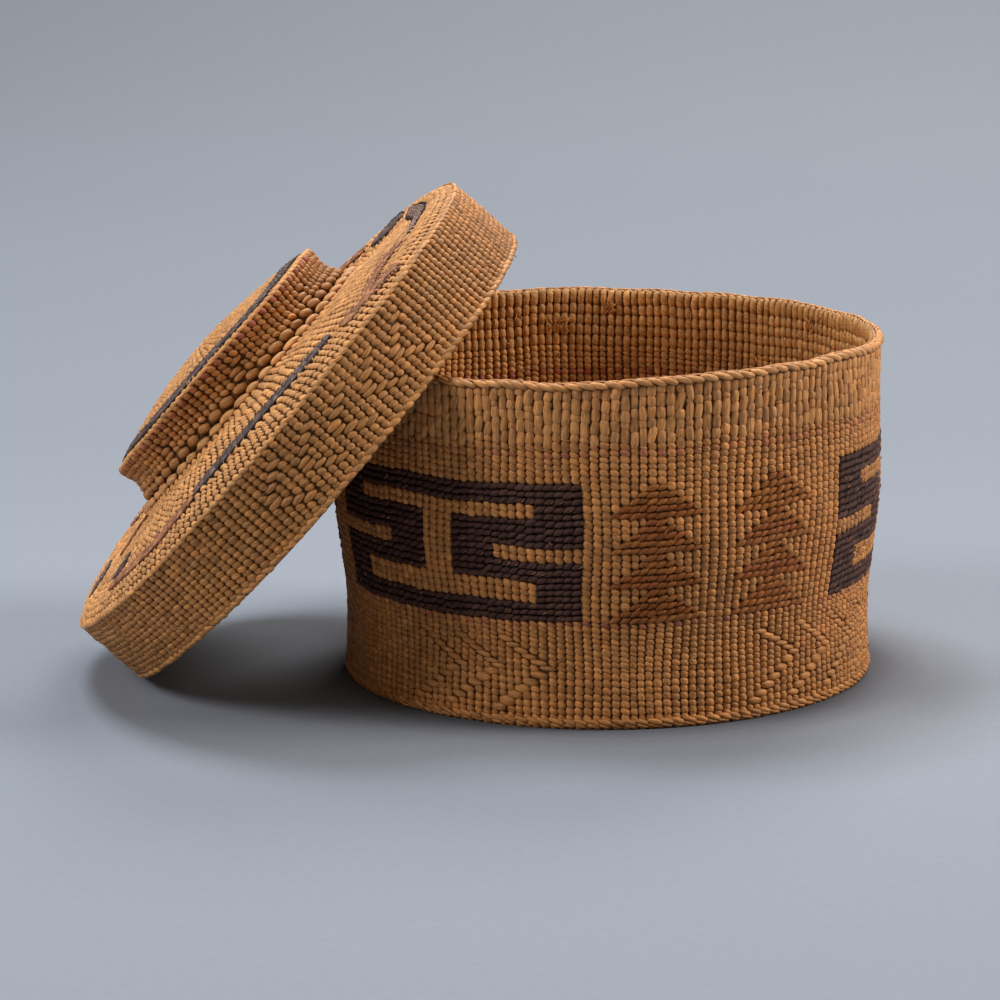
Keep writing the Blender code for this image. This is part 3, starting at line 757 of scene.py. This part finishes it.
def fret_mask(first):
    """Cells of the wall that a fret covers, from its first rib."""
    filled = np.array([[mark == "x" for mark in row] for row in FRET])
    pattern = np.repeat(np.repeat(filled, FRET_ROWS, 0), FRET_COLUMNS, 1)
    mask = np.zeros_like(wall_grid.used)
    mask[BAND_FIRST:BAND_LAST, first:first + pattern.shape[1]] = pattern[::-1]
    return mask


def triangle_mask(first):
    """Cells of the wall that a column of stacked triangles covers, from its first rib."""
    mask = np.zeros_like(wall_grid.used)
    for step in range(BAND_COUNT):
        inset = TRIANGLE_ROWS - 1 - step % TRIANGLE_ROWS
        mask[BAND_LAST - 1 - step, first + inset:first + TRIANGLE_WARPS - inset] = True
    return mask


def make_wall():
    grid = wall_grid
    repeats = range(0, WARPS, WARPS // 3)
    frets = [fret_mask(first) for first in repeats]
    triangles = [triangle_mask(first + start) for first in repeats for start in TRIANGLE_STARTS]
    # Beads under the fret and triangle strands, darkened as painted shade for the gaps between the strands.
    for name, masks, tone, finish in (("fret_gap_shade", frets, FRET_GAP_SHADE, ON_FRET),
                                      ("triangle_gap_shade", triangles, TRIANGLE_GAP_SHADE, ON_TRIANGLE)):
        behind = grid.plain(tone, 55, high=0.8, lift=-0.75, mask=np.any(masks, 0))
        weave(name, wall_outside, finish, behind, bead=INNER_BEAD)
    for index, mask in enumerate(frets):
        table = grid.strands(mask, lambda row: np.tile(DARK, (len(row), 1)), 60 + index)
        weave(f"fret_strands_{index + 1}", wall_outside, ON_FRET, table, light_slivers(table, 70 + index),
              bead=STRAND_BEAD, seed=index, node=f"fret_panel_{index + 1}")
    for index, mask in enumerate(triangles):
        letters = TRIANGLE_DYES[index % 2]
        table = grid.strands(mask, lambda row: np.array([DYES[letters[BAND_LAST - 1 - r]] for r in row]),
                             80 + index, stagger=0.0, fill=(1.05, 1.2), spread=0.09)
        weave(f"triangle_strands_{index + 1}", wall_outside, ON_TRIANGLE, table,
              bead=STRAND_BEAD, seed=index, node=f"triangle_column_{index + 1}")
    upper, lower = arrowheads(ARROW_RIBS, top_row=13, arm=6, way=1, turn=2)
    upper = grid.ovals(upper, ROOT, 91, slant=-11, high=0.92, lift=-0.42, wide=1.02, tall=1.1)
    lower = grid.ovals(lower, ROOT, 94, slant=-6, high=1.04, lift=-0.42, wide=1.04, tall=1.3)
    weave("wall_long_stitches", wall_outside, ON_WALL, upper, lower, seed=5)
    near_rim = np.arange(grid.count)[:, None] >= RIM_FIRST
    tall_rows = grid.plain(ROOT_RIM, 95, fill=(1.06, 1.24), shear=-9, upright_from=RIM_FIRST,
                           mask=near_rim & ~grid.used)
    weave("rim_row_stitches", wall_outside, ON_WALL, tall_rows, bead=RIM_BEAD, seed=9)
    plain = grid.plain(ROOT, 93, reds=((BAND_LAST + 4, 2), (BAND_FIRST - 1, 2)), mask=~near_rim & ~grid.used)
    in_thirds("wall_stitches", wall_outside, ON_WALL, plain, RIB_BEAD)


def light_slivers(table, seed):
    """Thin pale strands that show here and there between the dark ones."""
    draw = np.random.default_rng(seed)
    beside = table.take(draw.random(len(table.hue)) < 0.16)
    count = len(beside.hue)
    return Stitches(angle=beside.angle + np.degrees(0.9 / RIM_RADIUS), along=beside.along,
                    wide=draw.uniform(0.5, 1.0, count), tall=0.12, slant=draw.normal(38, 6, count),
                    lift=beside.lift + 0.62, high=0.35, hue=tones(draw, count, SLIVER, 0.25))


def loose_fibres(surface, count, low, high, base, seed, angles=(0.0, 360.0), size=1.0, out=0.3):
    """Short frayed fibres that stand off the weave."""
    draw = np.random.default_rng(seed)
    return Stitches(angle=draw.uniform(*angles, count), along=draw.uniform(low, high, count),
                    wide=size * draw.uniform(0.5, 1.5, count), tall=draw.uniform(0.09, 0.16, count) * size,
                    slant=draw.normal(70, 45, count), high=0.25, lift=draw.uniform(0.28, 0.34 + out, count),
                    hue=tones(draw, count, base, 0.3))


def make_fibres():
    wall = loose_fibres(wall_outside, 220, 4, wall_outside.end - 3, ROOT, 501, size=0.7)
    weave("wall_fibres", wall_outside, ON_WALL, wall)
    torn = [loose_fibres(wall_inside, 18, low, high, ROOT_RIM, 502 + index, (left, right), 1.25, 0.8)
            for index, (left, right, low, high) in enumerate(TEARS)]
    worn = loose_fibres(wall_inside, 160, 2.0, 40.0, ROOT_PALE, 506)
    weave("inner_fibres", wall_inside, IN_BASKET, worn, *torn)
    lid = loose_fibres(flange_outside, 120, 1, LID_DEPTH - 1, ROOT_LID, 508, size=0.8, out=0.1)
    weave("flange_fibres", flange_outside, ON_LID, lid)


def make_wall_inside():
    low = BASE_THICKNESS - 0.8
    inner_heights = np.concatenate([[low], wall_heights[wall_heights > low + 1.5][:-1], [INSIDE_TOP]])
    rows = np.sort(np.interp(inner_heights, wall_inside.points[::-1, 1], wall_inside.length[::-1]))
    grid = Grid(wall_inside, wall_edges, rows, 141, 0.3)
    plain = grid.plain(ROOT_INSIDE, 143, fill=(1.1, 1.26), reds=((9, 2),), red_share=(0.75, 1.0))
    in_thirds("inner_wall_stitches", wall_inside, IN_BASKET, plain, INNER_BEAD)


def twined_disc(surface, outer, inner, seed, row_step, counts, **plain):
    """Tables of a disc's or cone's stitches, ring after ring inwards, each with fewer ribs than the last."""
    radii, along = surface.points[:, 0], surface.length
    if radii[0] > radii[-1]:
        radii, along = radii[::-1], along[::-1]
    tables = []
    for index, (count, following) in enumerate(zip(counts, (*counts[1:], 0))):
        end = max(inner, following * DISC_RIB / (2 * math.pi))
        seeds = (seed + index, seed + 10 * index, seed + 100 + index)
        tables.append(ring(surface, np.interp([outer, end], radii, along), row_step, count, seeds, 0.12,
                           ROOT_INSIDE, first=PATTERN_START + 11 * index, **plain))
        outer = end
        if outer <= inner:
            break
    return tables


def make_base():
    for name, surface, outer in (("base_below_stitches", base_below, FOOT_RADIUS - 1.4),
                                 ("base_above_stitches", base_above, FOOT_RADIUS - WALL - 0.8)):
        counts = (WARPS, 132, 88, 44, 22, 11)
        disc = twined_disc(surface, outer, 1.2, 200, 1.75, counts, high=0.75, lift=-0.35)
        weave(name, surface, IN_BASKET, *disc, bead=INNER_BEAD, seed=3)


def rope(surface, along, pitch, wide, tall, slant, base, seed, high, lift, spread=0.12):
    """One row of slanting strands all the way round."""
    draw = np.random.default_rng(seed)
    count = round(360.0 / pitch)
    angle = PATTERN_START + (np.arange(count) + draw.normal(0, 0.06, count)) * 360.0 / count
    return Stitches(angle=angle, along=along + draw.normal(0, 0.05, count),
                    wide=wide * draw.normal(1, 0.06, count), tall=tall * draw.normal(1, 0.05, count),
                    slant=slant + draw.normal(0, 3, count), high=high * draw.normal(1, 0.05, count),
                    lift=lift, hue=tones(draw, count, base, spread))


def braid(name, outline, finish, node, *ropes):
    """A braid of ropes. Each gives its place as a share of the outline, and then what rope takes:
    pitch, half width, half thickness, slant, colour, seed, height, lift and spread of its colours.
    """
    surface = Turned(outline, BENDS[finish[0]])
    tables = [rope(surface, surface.end * share, *rest) for share, *rest in ropes]
    weave(name, surface, finish, *tables, node=node)


def make_braids():
    """Rim braid, foot ridge, the lid's mouth braid and the ridge round its edge."""
    braid("rim_strands", rounded(RIM_RADIUS - WALL + 0.1, RIM_RADIUS + 0.9, HEIGHT - 2.8, HEIGHT),
          ON_RIM, "rim_braid",
          (0.283, RIB * 1.5, 3.2, 1.02, -24, ROOT_RIM, 301, 0.75, -0.42),
          (0.483, RIB * 1.5, 2.3, 0.42, -9, ROOT_RIM, 308, 0.5, -0.30),
          (0.62, RIB, 1.3, 0.55, -16, ROOT_INSIDE, 302, 0.4, -0.42))
    braid("foot_strands", rounded(FOOT_RADIUS - 0.3, FOOT_RADIUS + 0.7, 0.4, 2.9, -80, 80),
          ON_WALL, "base_ridge",
          (0.66, RIB * 1.4, 2.35, 0.84, -24, ROOT, 303, 0.66, -0.36),
          (0.20, RIB * 1.4, 2.1, 0.6, -18, ROOT, 304, 0.6, -0.4))
    braid("lid_mouth_strands", rounded(LID_INNER, LID_OUTER + 0.5, 0.0, 2.6),
          ON_LID_BRAID, "lid_rim_braid",
          (0.36, RIB * 1.2, 3.0, 1.15, -28, ROOT_MOUTH, 305, 0.88, -0.42),
          (0.75, RIB * 1.1, 2.4, 0.95, -24, ROOT_LID, 306, 0.7, -0.42))
    edge = rounded(LID_OUTER - 1.6, LID_OUTER + 0.4, LID_DEPTH - 1.5, LID_DEPTH + 0.4, -60, 120)
    braid("lid_edge_strands", edge, ON_LID_BRAID, "lid_edge_ridge",
          (0.50, RIB, 2.1, 0.66, -14, ROOT_EDGE, 307, 0.55, -0.24, 0.14))


# Lid

def make_flange():
    edges = rib_edges(WARPS, 32)
    grid = Grid(flange_outside, edges, np.linspace(2.3, LID_DEPTH - 0.6, 13), 241, 0.2)
    upper, lower = arrowheads(LID_ARROW_RIBS, top_row=9, arm=4, way=-1, turn=1)
    ovals = grid.ovals(upper + lower, ROOT_LID, 242, slant=-3, tall=1.2, wide=0.99, high=1.12)
    weave("flange_long_stitches", flange_outside, ON_LID, ovals, seed=6)
    plain = grid.plain(ROOT_LID, 243, slant=-6, shear=-8, high=1.05, fill=(1.1, 1.25))
    weave("flange_stitches", flange_outside, ON_LID, plain, bead=SCALE_BEAD)
    grid = Grid(flange_inside, edges, np.linspace(0.6, LID_DEPTH - LID_WALL - 2.6, 12), 244, 0.2)
    weave("flange_inner_stitches", flange_inside, IN_LID, grid.plain(ROOT_INSIDE, 245), bead=INNER_BEAD)


def make_top():
    tables = []
    places = [0.3] + [along_at(top_outside, radius) for radius in (68.8, 55.0, KNOB_FOOT + 3.6)]
    for index, (start, stop, count) in enumerate(zip(places, places[1:], (WARPS, 150, 120))):
        seeds = (33 + index, 251 + index, 253 + index)
        tables.append(ring(top_outside, (start, stop), 2.05, count, seeds, 0.1, ROOT_TOP,
                           spans=(120.0, 120.0, 120.0), slant=-6, shear=-20, high=0.66, lift=-0.38,
                           fill=(1.06, 0.97), reds=((1, 2),) if index == 1 else ()))
    weave("top_stitches", top_outside, ON_LID, *tables, bead=FLAT_BEAD)
    below = twined_disc(top_inside, LID_INNER - 0.3, CHAMBER_FLOOR, 260, 1.8, (WARPS, 132))
    weave("top_inner_stitches", top_inside, IN_LID, *below, bead=INNER_BEAD)
    below = twined_disc(floor_below, CHAMBER_FLOOR - 0.2, 1.0, 270, 1.8, (88, 44, 22, 11))
    weave("chamber_floor_stitches", floor_below, IN_LID, *below, bead=INNER_BEAD)


def along_at(surface, radius):
    """Length along a surface's outline, which goes inwards, to a radius."""
    return np.interp(radius, surface.points[::-1, 0], surface.length[::-1])


def path_stitches(surface, path, half, step, side, wide, tall, slant, high, lift, base, seed, spread):
    """Stitches at even steps along a path of (x, y) points, set off to one side by a share of its half width.

    wide is a stitch's half width: a fixed part, and a share of the path's half width.
    """
    draw = np.random.default_rng(seed)
    path = np.array(path, float)
    legs = np.diff(path, axis=0)
    run = np.concatenate([[0], np.cumsum(np.hypot(*legs.T))])
    count = max(2, round(run[-1] / step))
    share = (np.arange(count) + 0.5) / count
    place = np.stack([np.interp(share * run[-1], run, path[:, k]) for k in (0, 1)], 1)
    middles = (run[:-1] + run[1:]) / 2
    way = np.stack([np.interp(share * run[-1], middles, legs[:, k] / np.diff(run)) for k in (0, 1)], 1)
    reach = half(share)
    place = place + np.stack([way[:, 1], -way[:, 0]], 1) * (side * reach)[:, None]
    radius, angle = np.hypot(*place.T), np.arctan2(place[:, 1], place[:, 0])
    forward = way[:, 1] * np.cos(angle) - way[:, 0] * np.sin(angle)
    inward = -way[:, 0] * np.cos(angle) - way[:, 1] * np.sin(angle)
    return Stitches(angle=np.degrees(angle), along=along_at(surface, radius),
                    wide=(wide[0] + wide[1] * reach) * draw.normal(1, 0.08, count),
                    tall=tall * draw.normal(1, 0.08, count),
                    slant=np.degrees(np.arctan2(inward, forward)) + slant + draw.normal(0, 4, count),
                    high=high, lift=lift + draw.normal(0, 0.04, count), hue=tones(draw, count, base, spread))


def worked_band(name, surface, path, half, dye, seed, node=None, lines=3):
    """Worked band: a ground of cross stitches, thin strands along it, and two scalloped edges."""
    proud = 0.2 if dye == "brown" else 0.04
    tables = [path_stitches(surface, path, half, 0.8, 0.0, (0.1, 1.0), 0.60, 98, 0.42, proud,
                            MARK_GROUND[dye], seed, 0.2)]
    for line in range(lines):
        side = 0.62 * (2 * line / (lines - 1) - 1)
        tables.append(path_stitches(surface, path, half, 2.3, side, (1.35, 0.0), 0.38, 7, 0.36, 0.22 + proud,
                                    MARK_STREAK[dye], seed + 7 * line, 0.30))
    # Scalloped edges: the band's dark outline and painted shade along its sides.
    for side in (-1.0, 1.0):
        tables.append(path_stitches(surface, path, half, 1.35, side, (0.80, 0.0), 0.40, 38, 0.46, proud,
                                    MARK_EDGE[dye], seed + 1, 0.2))
    weave(name, surface, ON_LID_RUST if dye == "brown" else ON_LID_DARK, *tables, seed=seed, node=node)


def even(width):
    """Half width of a band that is as wide all along, at a share of its length."""
    return lambda share: np.full(len(share), width / 2)


def blunt(width):
    """Half width of a band with blunt ends, at a share of its length."""
    return lambda share: width / 2 * np.minimum(1, 6 * np.minimum(share, 1 - share) + 0.5)


def pointed(width, lean):
    """Half width of a leaf with pointed ends, at a share of its length. lean moves its widest place."""
    return lambda share: width / 2 * np.sin(np.pi * share ** lean) ** 0.8


def lid_pattern():
    """The arcs, the stroke and the leaves worked on the lid's top."""
    for kind, arcs in LID_ARCS.items():
        for index, (angles, radii, width) in enumerate(arcs):
            name, path = f"{kind}_arc_{index + 1}", polar_path(angles, radii)
            worked_band(name, top_outside, path, blunt(width), kind, 280 + index, f"lid_{name}")
    angles, radii, width = LID_STROKE
    worked_band("brown_stroke", top_outside, polar_path(angles, radii), blunt(width), "brown", 289, lines=2)
    for name, kind, angles, radii, width, lean in LID_LEAVES:
        worked_band(name, top_outside, polar_path(angles, radii), pointed(width, lean), kind, 290,
                    f"lid_{name}", max(3, round(width * 0.9)))


def polar_path(angles, radii):
    """Points (x, y) of a smooth path through places given by angle and radius."""
    share = np.linspace(0, len(angles) - 1, 24)
    turn = np.radians(np.interp(share, np.arange(len(angles)), angles))
    radius = np.interp(share, np.arange(len(radii)), radii)
    return np.stack([radius * np.cos(turn), radius * np.sin(turn)], 1)


def make_knob():
    large = rope(top_outside, along_at(top_outside, KNOB_FOOT + 2.5), 360.0 / FOOT_OVALS, 2.75, 1.45, -14,
                 ROOT_PALE, 311, 1.35, -0.3, 0.06)
    weave("knob_foot_stitches", top_outside, ON_KNOB_FOOT, large, node="knob_foot_ridge")
    edges = rib_edges(KNOB_WARPS, 35, 0.05, 0.0, WHOLE_TURN)
    rows = np.concatenate([[0.1, 2.9], np.linspace(2.9, knob_outside.end - 0.3, 6)[1:]])
    grid = Grid(knob_outside, edges, rows, 321, 0.05)
    foot_places = [(0, rib) for rib in range(1, KNOB_WARPS, 2)]
    ovals = [grid.ovals(foot_places, ROOT_LID, 322, slant=-16, high=1.3, tall=1.05)]
    for arms in arrowheads(range(3, KNOB_WARPS, 13), top_row=3, arm=2, way=-1, turn=1):
        ovals.append(grid.ovals(arms, ROOT_LID, 324, slant=-6, high=1.1, tall=1.1))
    weave("knob_long_stitches", knob_outside, ON_LID, *ovals, seed=7)
    plain = grid.plain(ROOT_LID, 323, slant=-12, shear=-12, high=1.15, fill=(1.1, 1.12), reds=((5, 2),),
                       red_share=(0.5, 0.85))
    weave("knob_wall_stitches", knob_outside, ON_LID, plain, bead=SCALE_BEAD)
    outline = rounded(KNOB_TOP - 1.7, KNOB_TOP + 0.15, KNOB_EDGE - 1.3, KNOB_EDGE + 0.45, -60, 110)
    rim = Turned(outline, bend_lid)
    ridge = rope(rim, rim.end * 0.52, 360.0 / KNOB_WARPS, 2.1, 0.62, -14, ROOT_PALE, 312, 0.65, -0.25)
    weave("knob_edge_strands", rim, ON_LID_BRAID, ridge, seed=8)
    tables = []
    start = 0.9
    for index, (radius, count) in enumerate(KNOB_ZONES):
        stop = along_at(knob_top_outside, radius)
        seeds = (36 + index, 331 + index, 341 + index)
        tables.append(ring(knob_top_outside, (start, stop), 1.7, count, seeds, 0.08, ROOT_PALE,
                           slant=-6, shear=-10, high=0.64, lift=-0.38, fill=(1.13, 1.08)))
        start = stop
    weave("knob_top_stitches", knob_top_outside, ON_LID, *tables, bead=FLAT_BEAD)
    turn = np.radians(np.linspace(0, 360, 97))
    path = KNOB_BAND_RADIUS * np.stack([np.cos(turn), np.sin(turn)], 1)
    worked_band("knob_band_strands", knob_top_outside, path, even(KNOB_BAND_WIDTH), "dark", 340, "knob_band")


# Cores behind the stitches

def shell(outline, skin, depth):
    """Closed outline between two depths below a surface's outline."""
    return np.concatenate([under(outline, skin)[::-1], under(outline, depth)])


def make_cores():
    wall = [(wall_radius(z), z) for z in evenly(0.9, INSIDE_TOP - 0.4, 4.0)]
    core("wall_core", shell(wall, SKIN, WALL - SKIN), "basket", "root_tan", "basket_wall")
    radius = FOOT_RADIUS - 0.9
    disc = [(0, 0.95), (radius - 0.5, 0.95), (radius, 1.3), (radius, 1.9), (radius - 0.5, 2.0), (0, 2.0)]
    core("base_core", disc, "basket", "root_inner", "basket_base")
    rim = rounded(RIM_RADIUS - WALL + 0.1, RIM_RADIUS + 0.35, HEIGHT - 2.9, HEIGHT - 0.5, 0, 345)
    core("rim_core", rim, "basket", "root_light")
    outer, inner, low, high = LID_OUTER - SKIN, LID_INNER + SKIN, 0.8, LID_DEPTH - 0.3
    flange = [(outer, low), (outer, high), (inner, high), (inner, low)]
    core("flange_core", flange, "lid", "root_tan", "lid_flange")
    top = [(r, top_height(r)) for r in evenly(LID_OUTER - 0.5, CHAMBER_FLOOR - 0.6, 1.5)]
    core("top_core", shell(top, 0.5, LID_WALL - SKIN), "lid", "root_tan", "lid_top")
    low, high = KNOB_BASE - LID_WALL + 0.7, KNOB_BASE
    floor = [(0, low), (CHAMBER_FLOOR, low), (CHAMBER_FLOOR, high), (0, high)]
    core("chamber_floor_core", floor, "lid", "root_inner", "chamber_floor")
    knob = [(knob_radius(z), z) for z in evenly(KNOB_BASE - 0.4, KNOB_EDGE - 0.3, 1.2)]
    core("knob_wall_core", shell(knob, SKIN, KNOB_WALL - 0.1), "lid", "root_tan", "knob_wall")
    dome = [(r, knob_top_height(r)) for r in evenly(KNOB_TOP - 0.6, 0.0, 2.5)]
    below = [(r, z - KNOB_WALL + 0.1) for r, z in reversed(dome)]
    core("knob_top_core", [(r, z - 0.52) for r, z in dome] + below, "lid", "root_tan", "knob_top")


# Pebbles

def make_pebbles():
    """Water-worn pebbles in place of the plain ones, each a little lumpy in its own way."""
    for number in range(1, 6):
        low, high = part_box(f"rattle_pebble_{number}")
        centre, half = np.array((low + high) / 2) / MM, np.array((high - low) / 2) / MM
        local = (centre - np.array(LID_MIDDLE)) @ LID_AXES.T
        rise = -local[1] * math.tan(math.radians(KNOB_TILT))
        centre = centre + rise * LID_AXES[2]
        work = bmesh.new()
        bmesh.ops.create_icosphere(work, subdivisions=4, radius=1.0)
        points = np.array([vert.co[:] for vert in work.verts])
        draw = np.random.default_rng(399 + number)
        lumps = 1.0
        for _ in range(5):
            way = draw.normal(size=3)
            lumps = lumps - 0.03 * (1 + np.sin(points @ way * 2.1 + draw.uniform(0, 6)))
        points = points * np.minimum(lumps, 1.0)[:, None] * half * 0.97 + centre
        faces = np.array([[vert.index for vert in face.verts] for face in work.faces])
        work.free()
        made = mesh_object(f"pebble_stone_{number}", points, np.zeros((0, 4), int), faces)
        finish_piece(made, (f"pebble_{number}", "pebble", LOOK_STONE), f"rattle_pebble_{number}")


# Stage, in metres. Each lamp: its place, size, power and colour. Each painted shade on the paper: a length,
# and the grey there

LAMPS = {"key": ((-0.3, 0.5, 1.4), (0.5, 0.5), 13.1, (0.92, 1.0, 1.085)),
         "side": ((1.4, -0.1, 0.9), (0.6, 0.6), 21.1, (1.02, 1.0, 0.98)),
         "front": ((-0.3, -1.5, 1.1), (1.2, 1.2), 2.6, (1.05, 1.0, 0.945)),
         "back": ((0.5, 1.3, 1.3), (0.8, 0.8), 18.4, (1.02, 1.0, 0.966)),
         "left": ((-1.4, -0.5, 1.1), (0.7, 0.7), 15.8, (0.993, 1.0, 1.027))}
LAMP_TARGET = (0, 0, 0.04)
WORLD_COLOUR = (1.0, 0.96, 0.92, 1)
WORLD_STRENGTH = 0.04
PAPER = (0.283, 0.302, 0.338)
PAPER_FRONT = -2.2
PAPER_SIDE = 4.0
PAPER_TOP = 3.0
CURVE_START = 1.2
CURVE = 0.9
# Painted shadow on the paper round the basket's foot, by the distance from its axis.
PAINTED_FOOT_SHADOW = ((0.0, 0.45), (0.074, 0.45), (0.081, 0.72), (0.090, 0.92), (0.105, 1.0), (0.2, 1.0))
# Painted shade on the paper: greys that change with the depth.
PAINTED_PAPER_SHADE = ((0.02, 1.0), (0.13, 0.97), (0.22, 0.92), (0.33, 0.865), (0.60, 0.84), (0.92, 0.87),
                (1.25, 0.98))


def paper_look():
    """Backdrop paper: faint grain, painted shade that changes with the depth, and a painted shadow round the
    basket's foot.
    """
    look = plain_look("backdrop_paper", PAPER, 0.95, 350.0, 0.02, 0.0001, 0.1)
    where = look.add("TexCoord")["Object"]
    depth = look.add("SeparateXYZ", {0: where})["Y"]
    away = look.add("VectorMath", {0: where}, operation="LENGTH")["Value"]
    colour = look.shader.inputs["Base Color"].links[0].from_socket
    for length, shades in ((depth, PAINTED_PAPER_SHADE), (away, PAINTED_FOOT_SHADOW)):
        reach = shades[-1][0]
        share = look.add("Math", {0: length, 1: reach}, operation="DIVIDE")[0]
        grey = look.ramp(share, [(place / reach, (tone, tone, tone, 1)) for place, tone in shades])
        colour = look.add("VectorMath", {0: colour, 1: grey}, operation="MULTIPLY")[0]
    look.give(look.shader, {"Base Color": colour})
    return look.made


def make_floor():
    """Pale floor that curves up into the backdrop."""
    turns = np.radians(np.linspace(0, 90, 16))
    curve = [(CURVE_START + CURVE * math.sin(a), CURVE - CURVE * math.cos(a)) for a in turns]
    outline = [(PAPER_FRONT, 0.0), *curve, (CURVE_START + CURVE, PAPER_TOP)]
    verts = [(side, away, up) for away, up in outline for side in (-PAPER_SIDE, PAPER_SIDE)]
    faces = [(near, near + 1, near + 3, near + 2) for near in range(0, 2 * len(outline) - 2, 2)]
    mesh = bpy.data.meshes.new("backdrop")
    mesh.from_pydata(verts, [], faces)
    mesh.shade_smooth()
    mesh.materials.append(paper_look())
    made = add_object("backdrop", mesh)
    made.rotation_euler = (0, 0, math.radians(CAMERA_AROUND + 90.0))


def turned_by(angle, axis):
    return Matrix.Rotation(math.radians(angle), 3, axis)


def make_camera():
    data = bpy.data.cameras.new("camera")
    data.sensor_width = 36.0
    data.lens = data.sensor_width * CAMERA_FOCUS
    data.clip_start, data.clip_end = 0.05, 50.0
    camera = add_object("camera", data)
    around = math.radians(CAMERA_AROUND)
    place = Vector((CAMERA_AWAY * math.cos(around), CAMERA_AWAY * math.sin(around), CAMERA_HEIGHT)) * MM
    forward = (Vector((0, 0, CAMERA_TARGET * MM)) - place).normalized()
    right = forward.cross(Vector((0, 0, 1))).normalized()
    look = Matrix((right, right.cross(forward), -forward))
    turn = turned_by(CAMERA_ROLL, "Z") @ turned_by(CAMERA_TIP, "X") @ turned_by(CAMERA_TURN, "Y")
    camera.matrix_world = Matrix.Translation(place) @ (turn @ look).transposed().to_4x4()
    bpy.context.scene.camera = camera


def make_light():
    world = bpy.data.worlds.new("studio")
    bpy.context.scene.world = world
    world.use_nodes = True
    background = world.node_tree.nodes["Background"]
    background.inputs["Color"].default_value = WORLD_COLOUR
    background.inputs["Strength"].default_value = WORLD_STRENGTH
    for name, (place, size, power, colour) in LAMPS.items():
        data = bpy.data.lights.new(name, "AREA")
        data.shape = "RECTANGLE"
        data.size, data.size_y = size
        data.energy = power
        data.color = colour
        made = add_object(name, data)
        made.location = place
        made.rotation_euler = (Vector(LAMP_TARGET) - Vector(place)).to_track_quat("-Z", "Y").to_euler()
    bpy.context.scene.view_settings.view_transform = "Standard"


make_camera()
make_light()
make_floor()
make_wall()
make_wall_inside()
make_fibres()
make_base()
make_braids()
make_flange()
make_top()
lid_pattern()
make_knob()
make_cores()
make_pebbles()

bpy.context.view_layer.update()
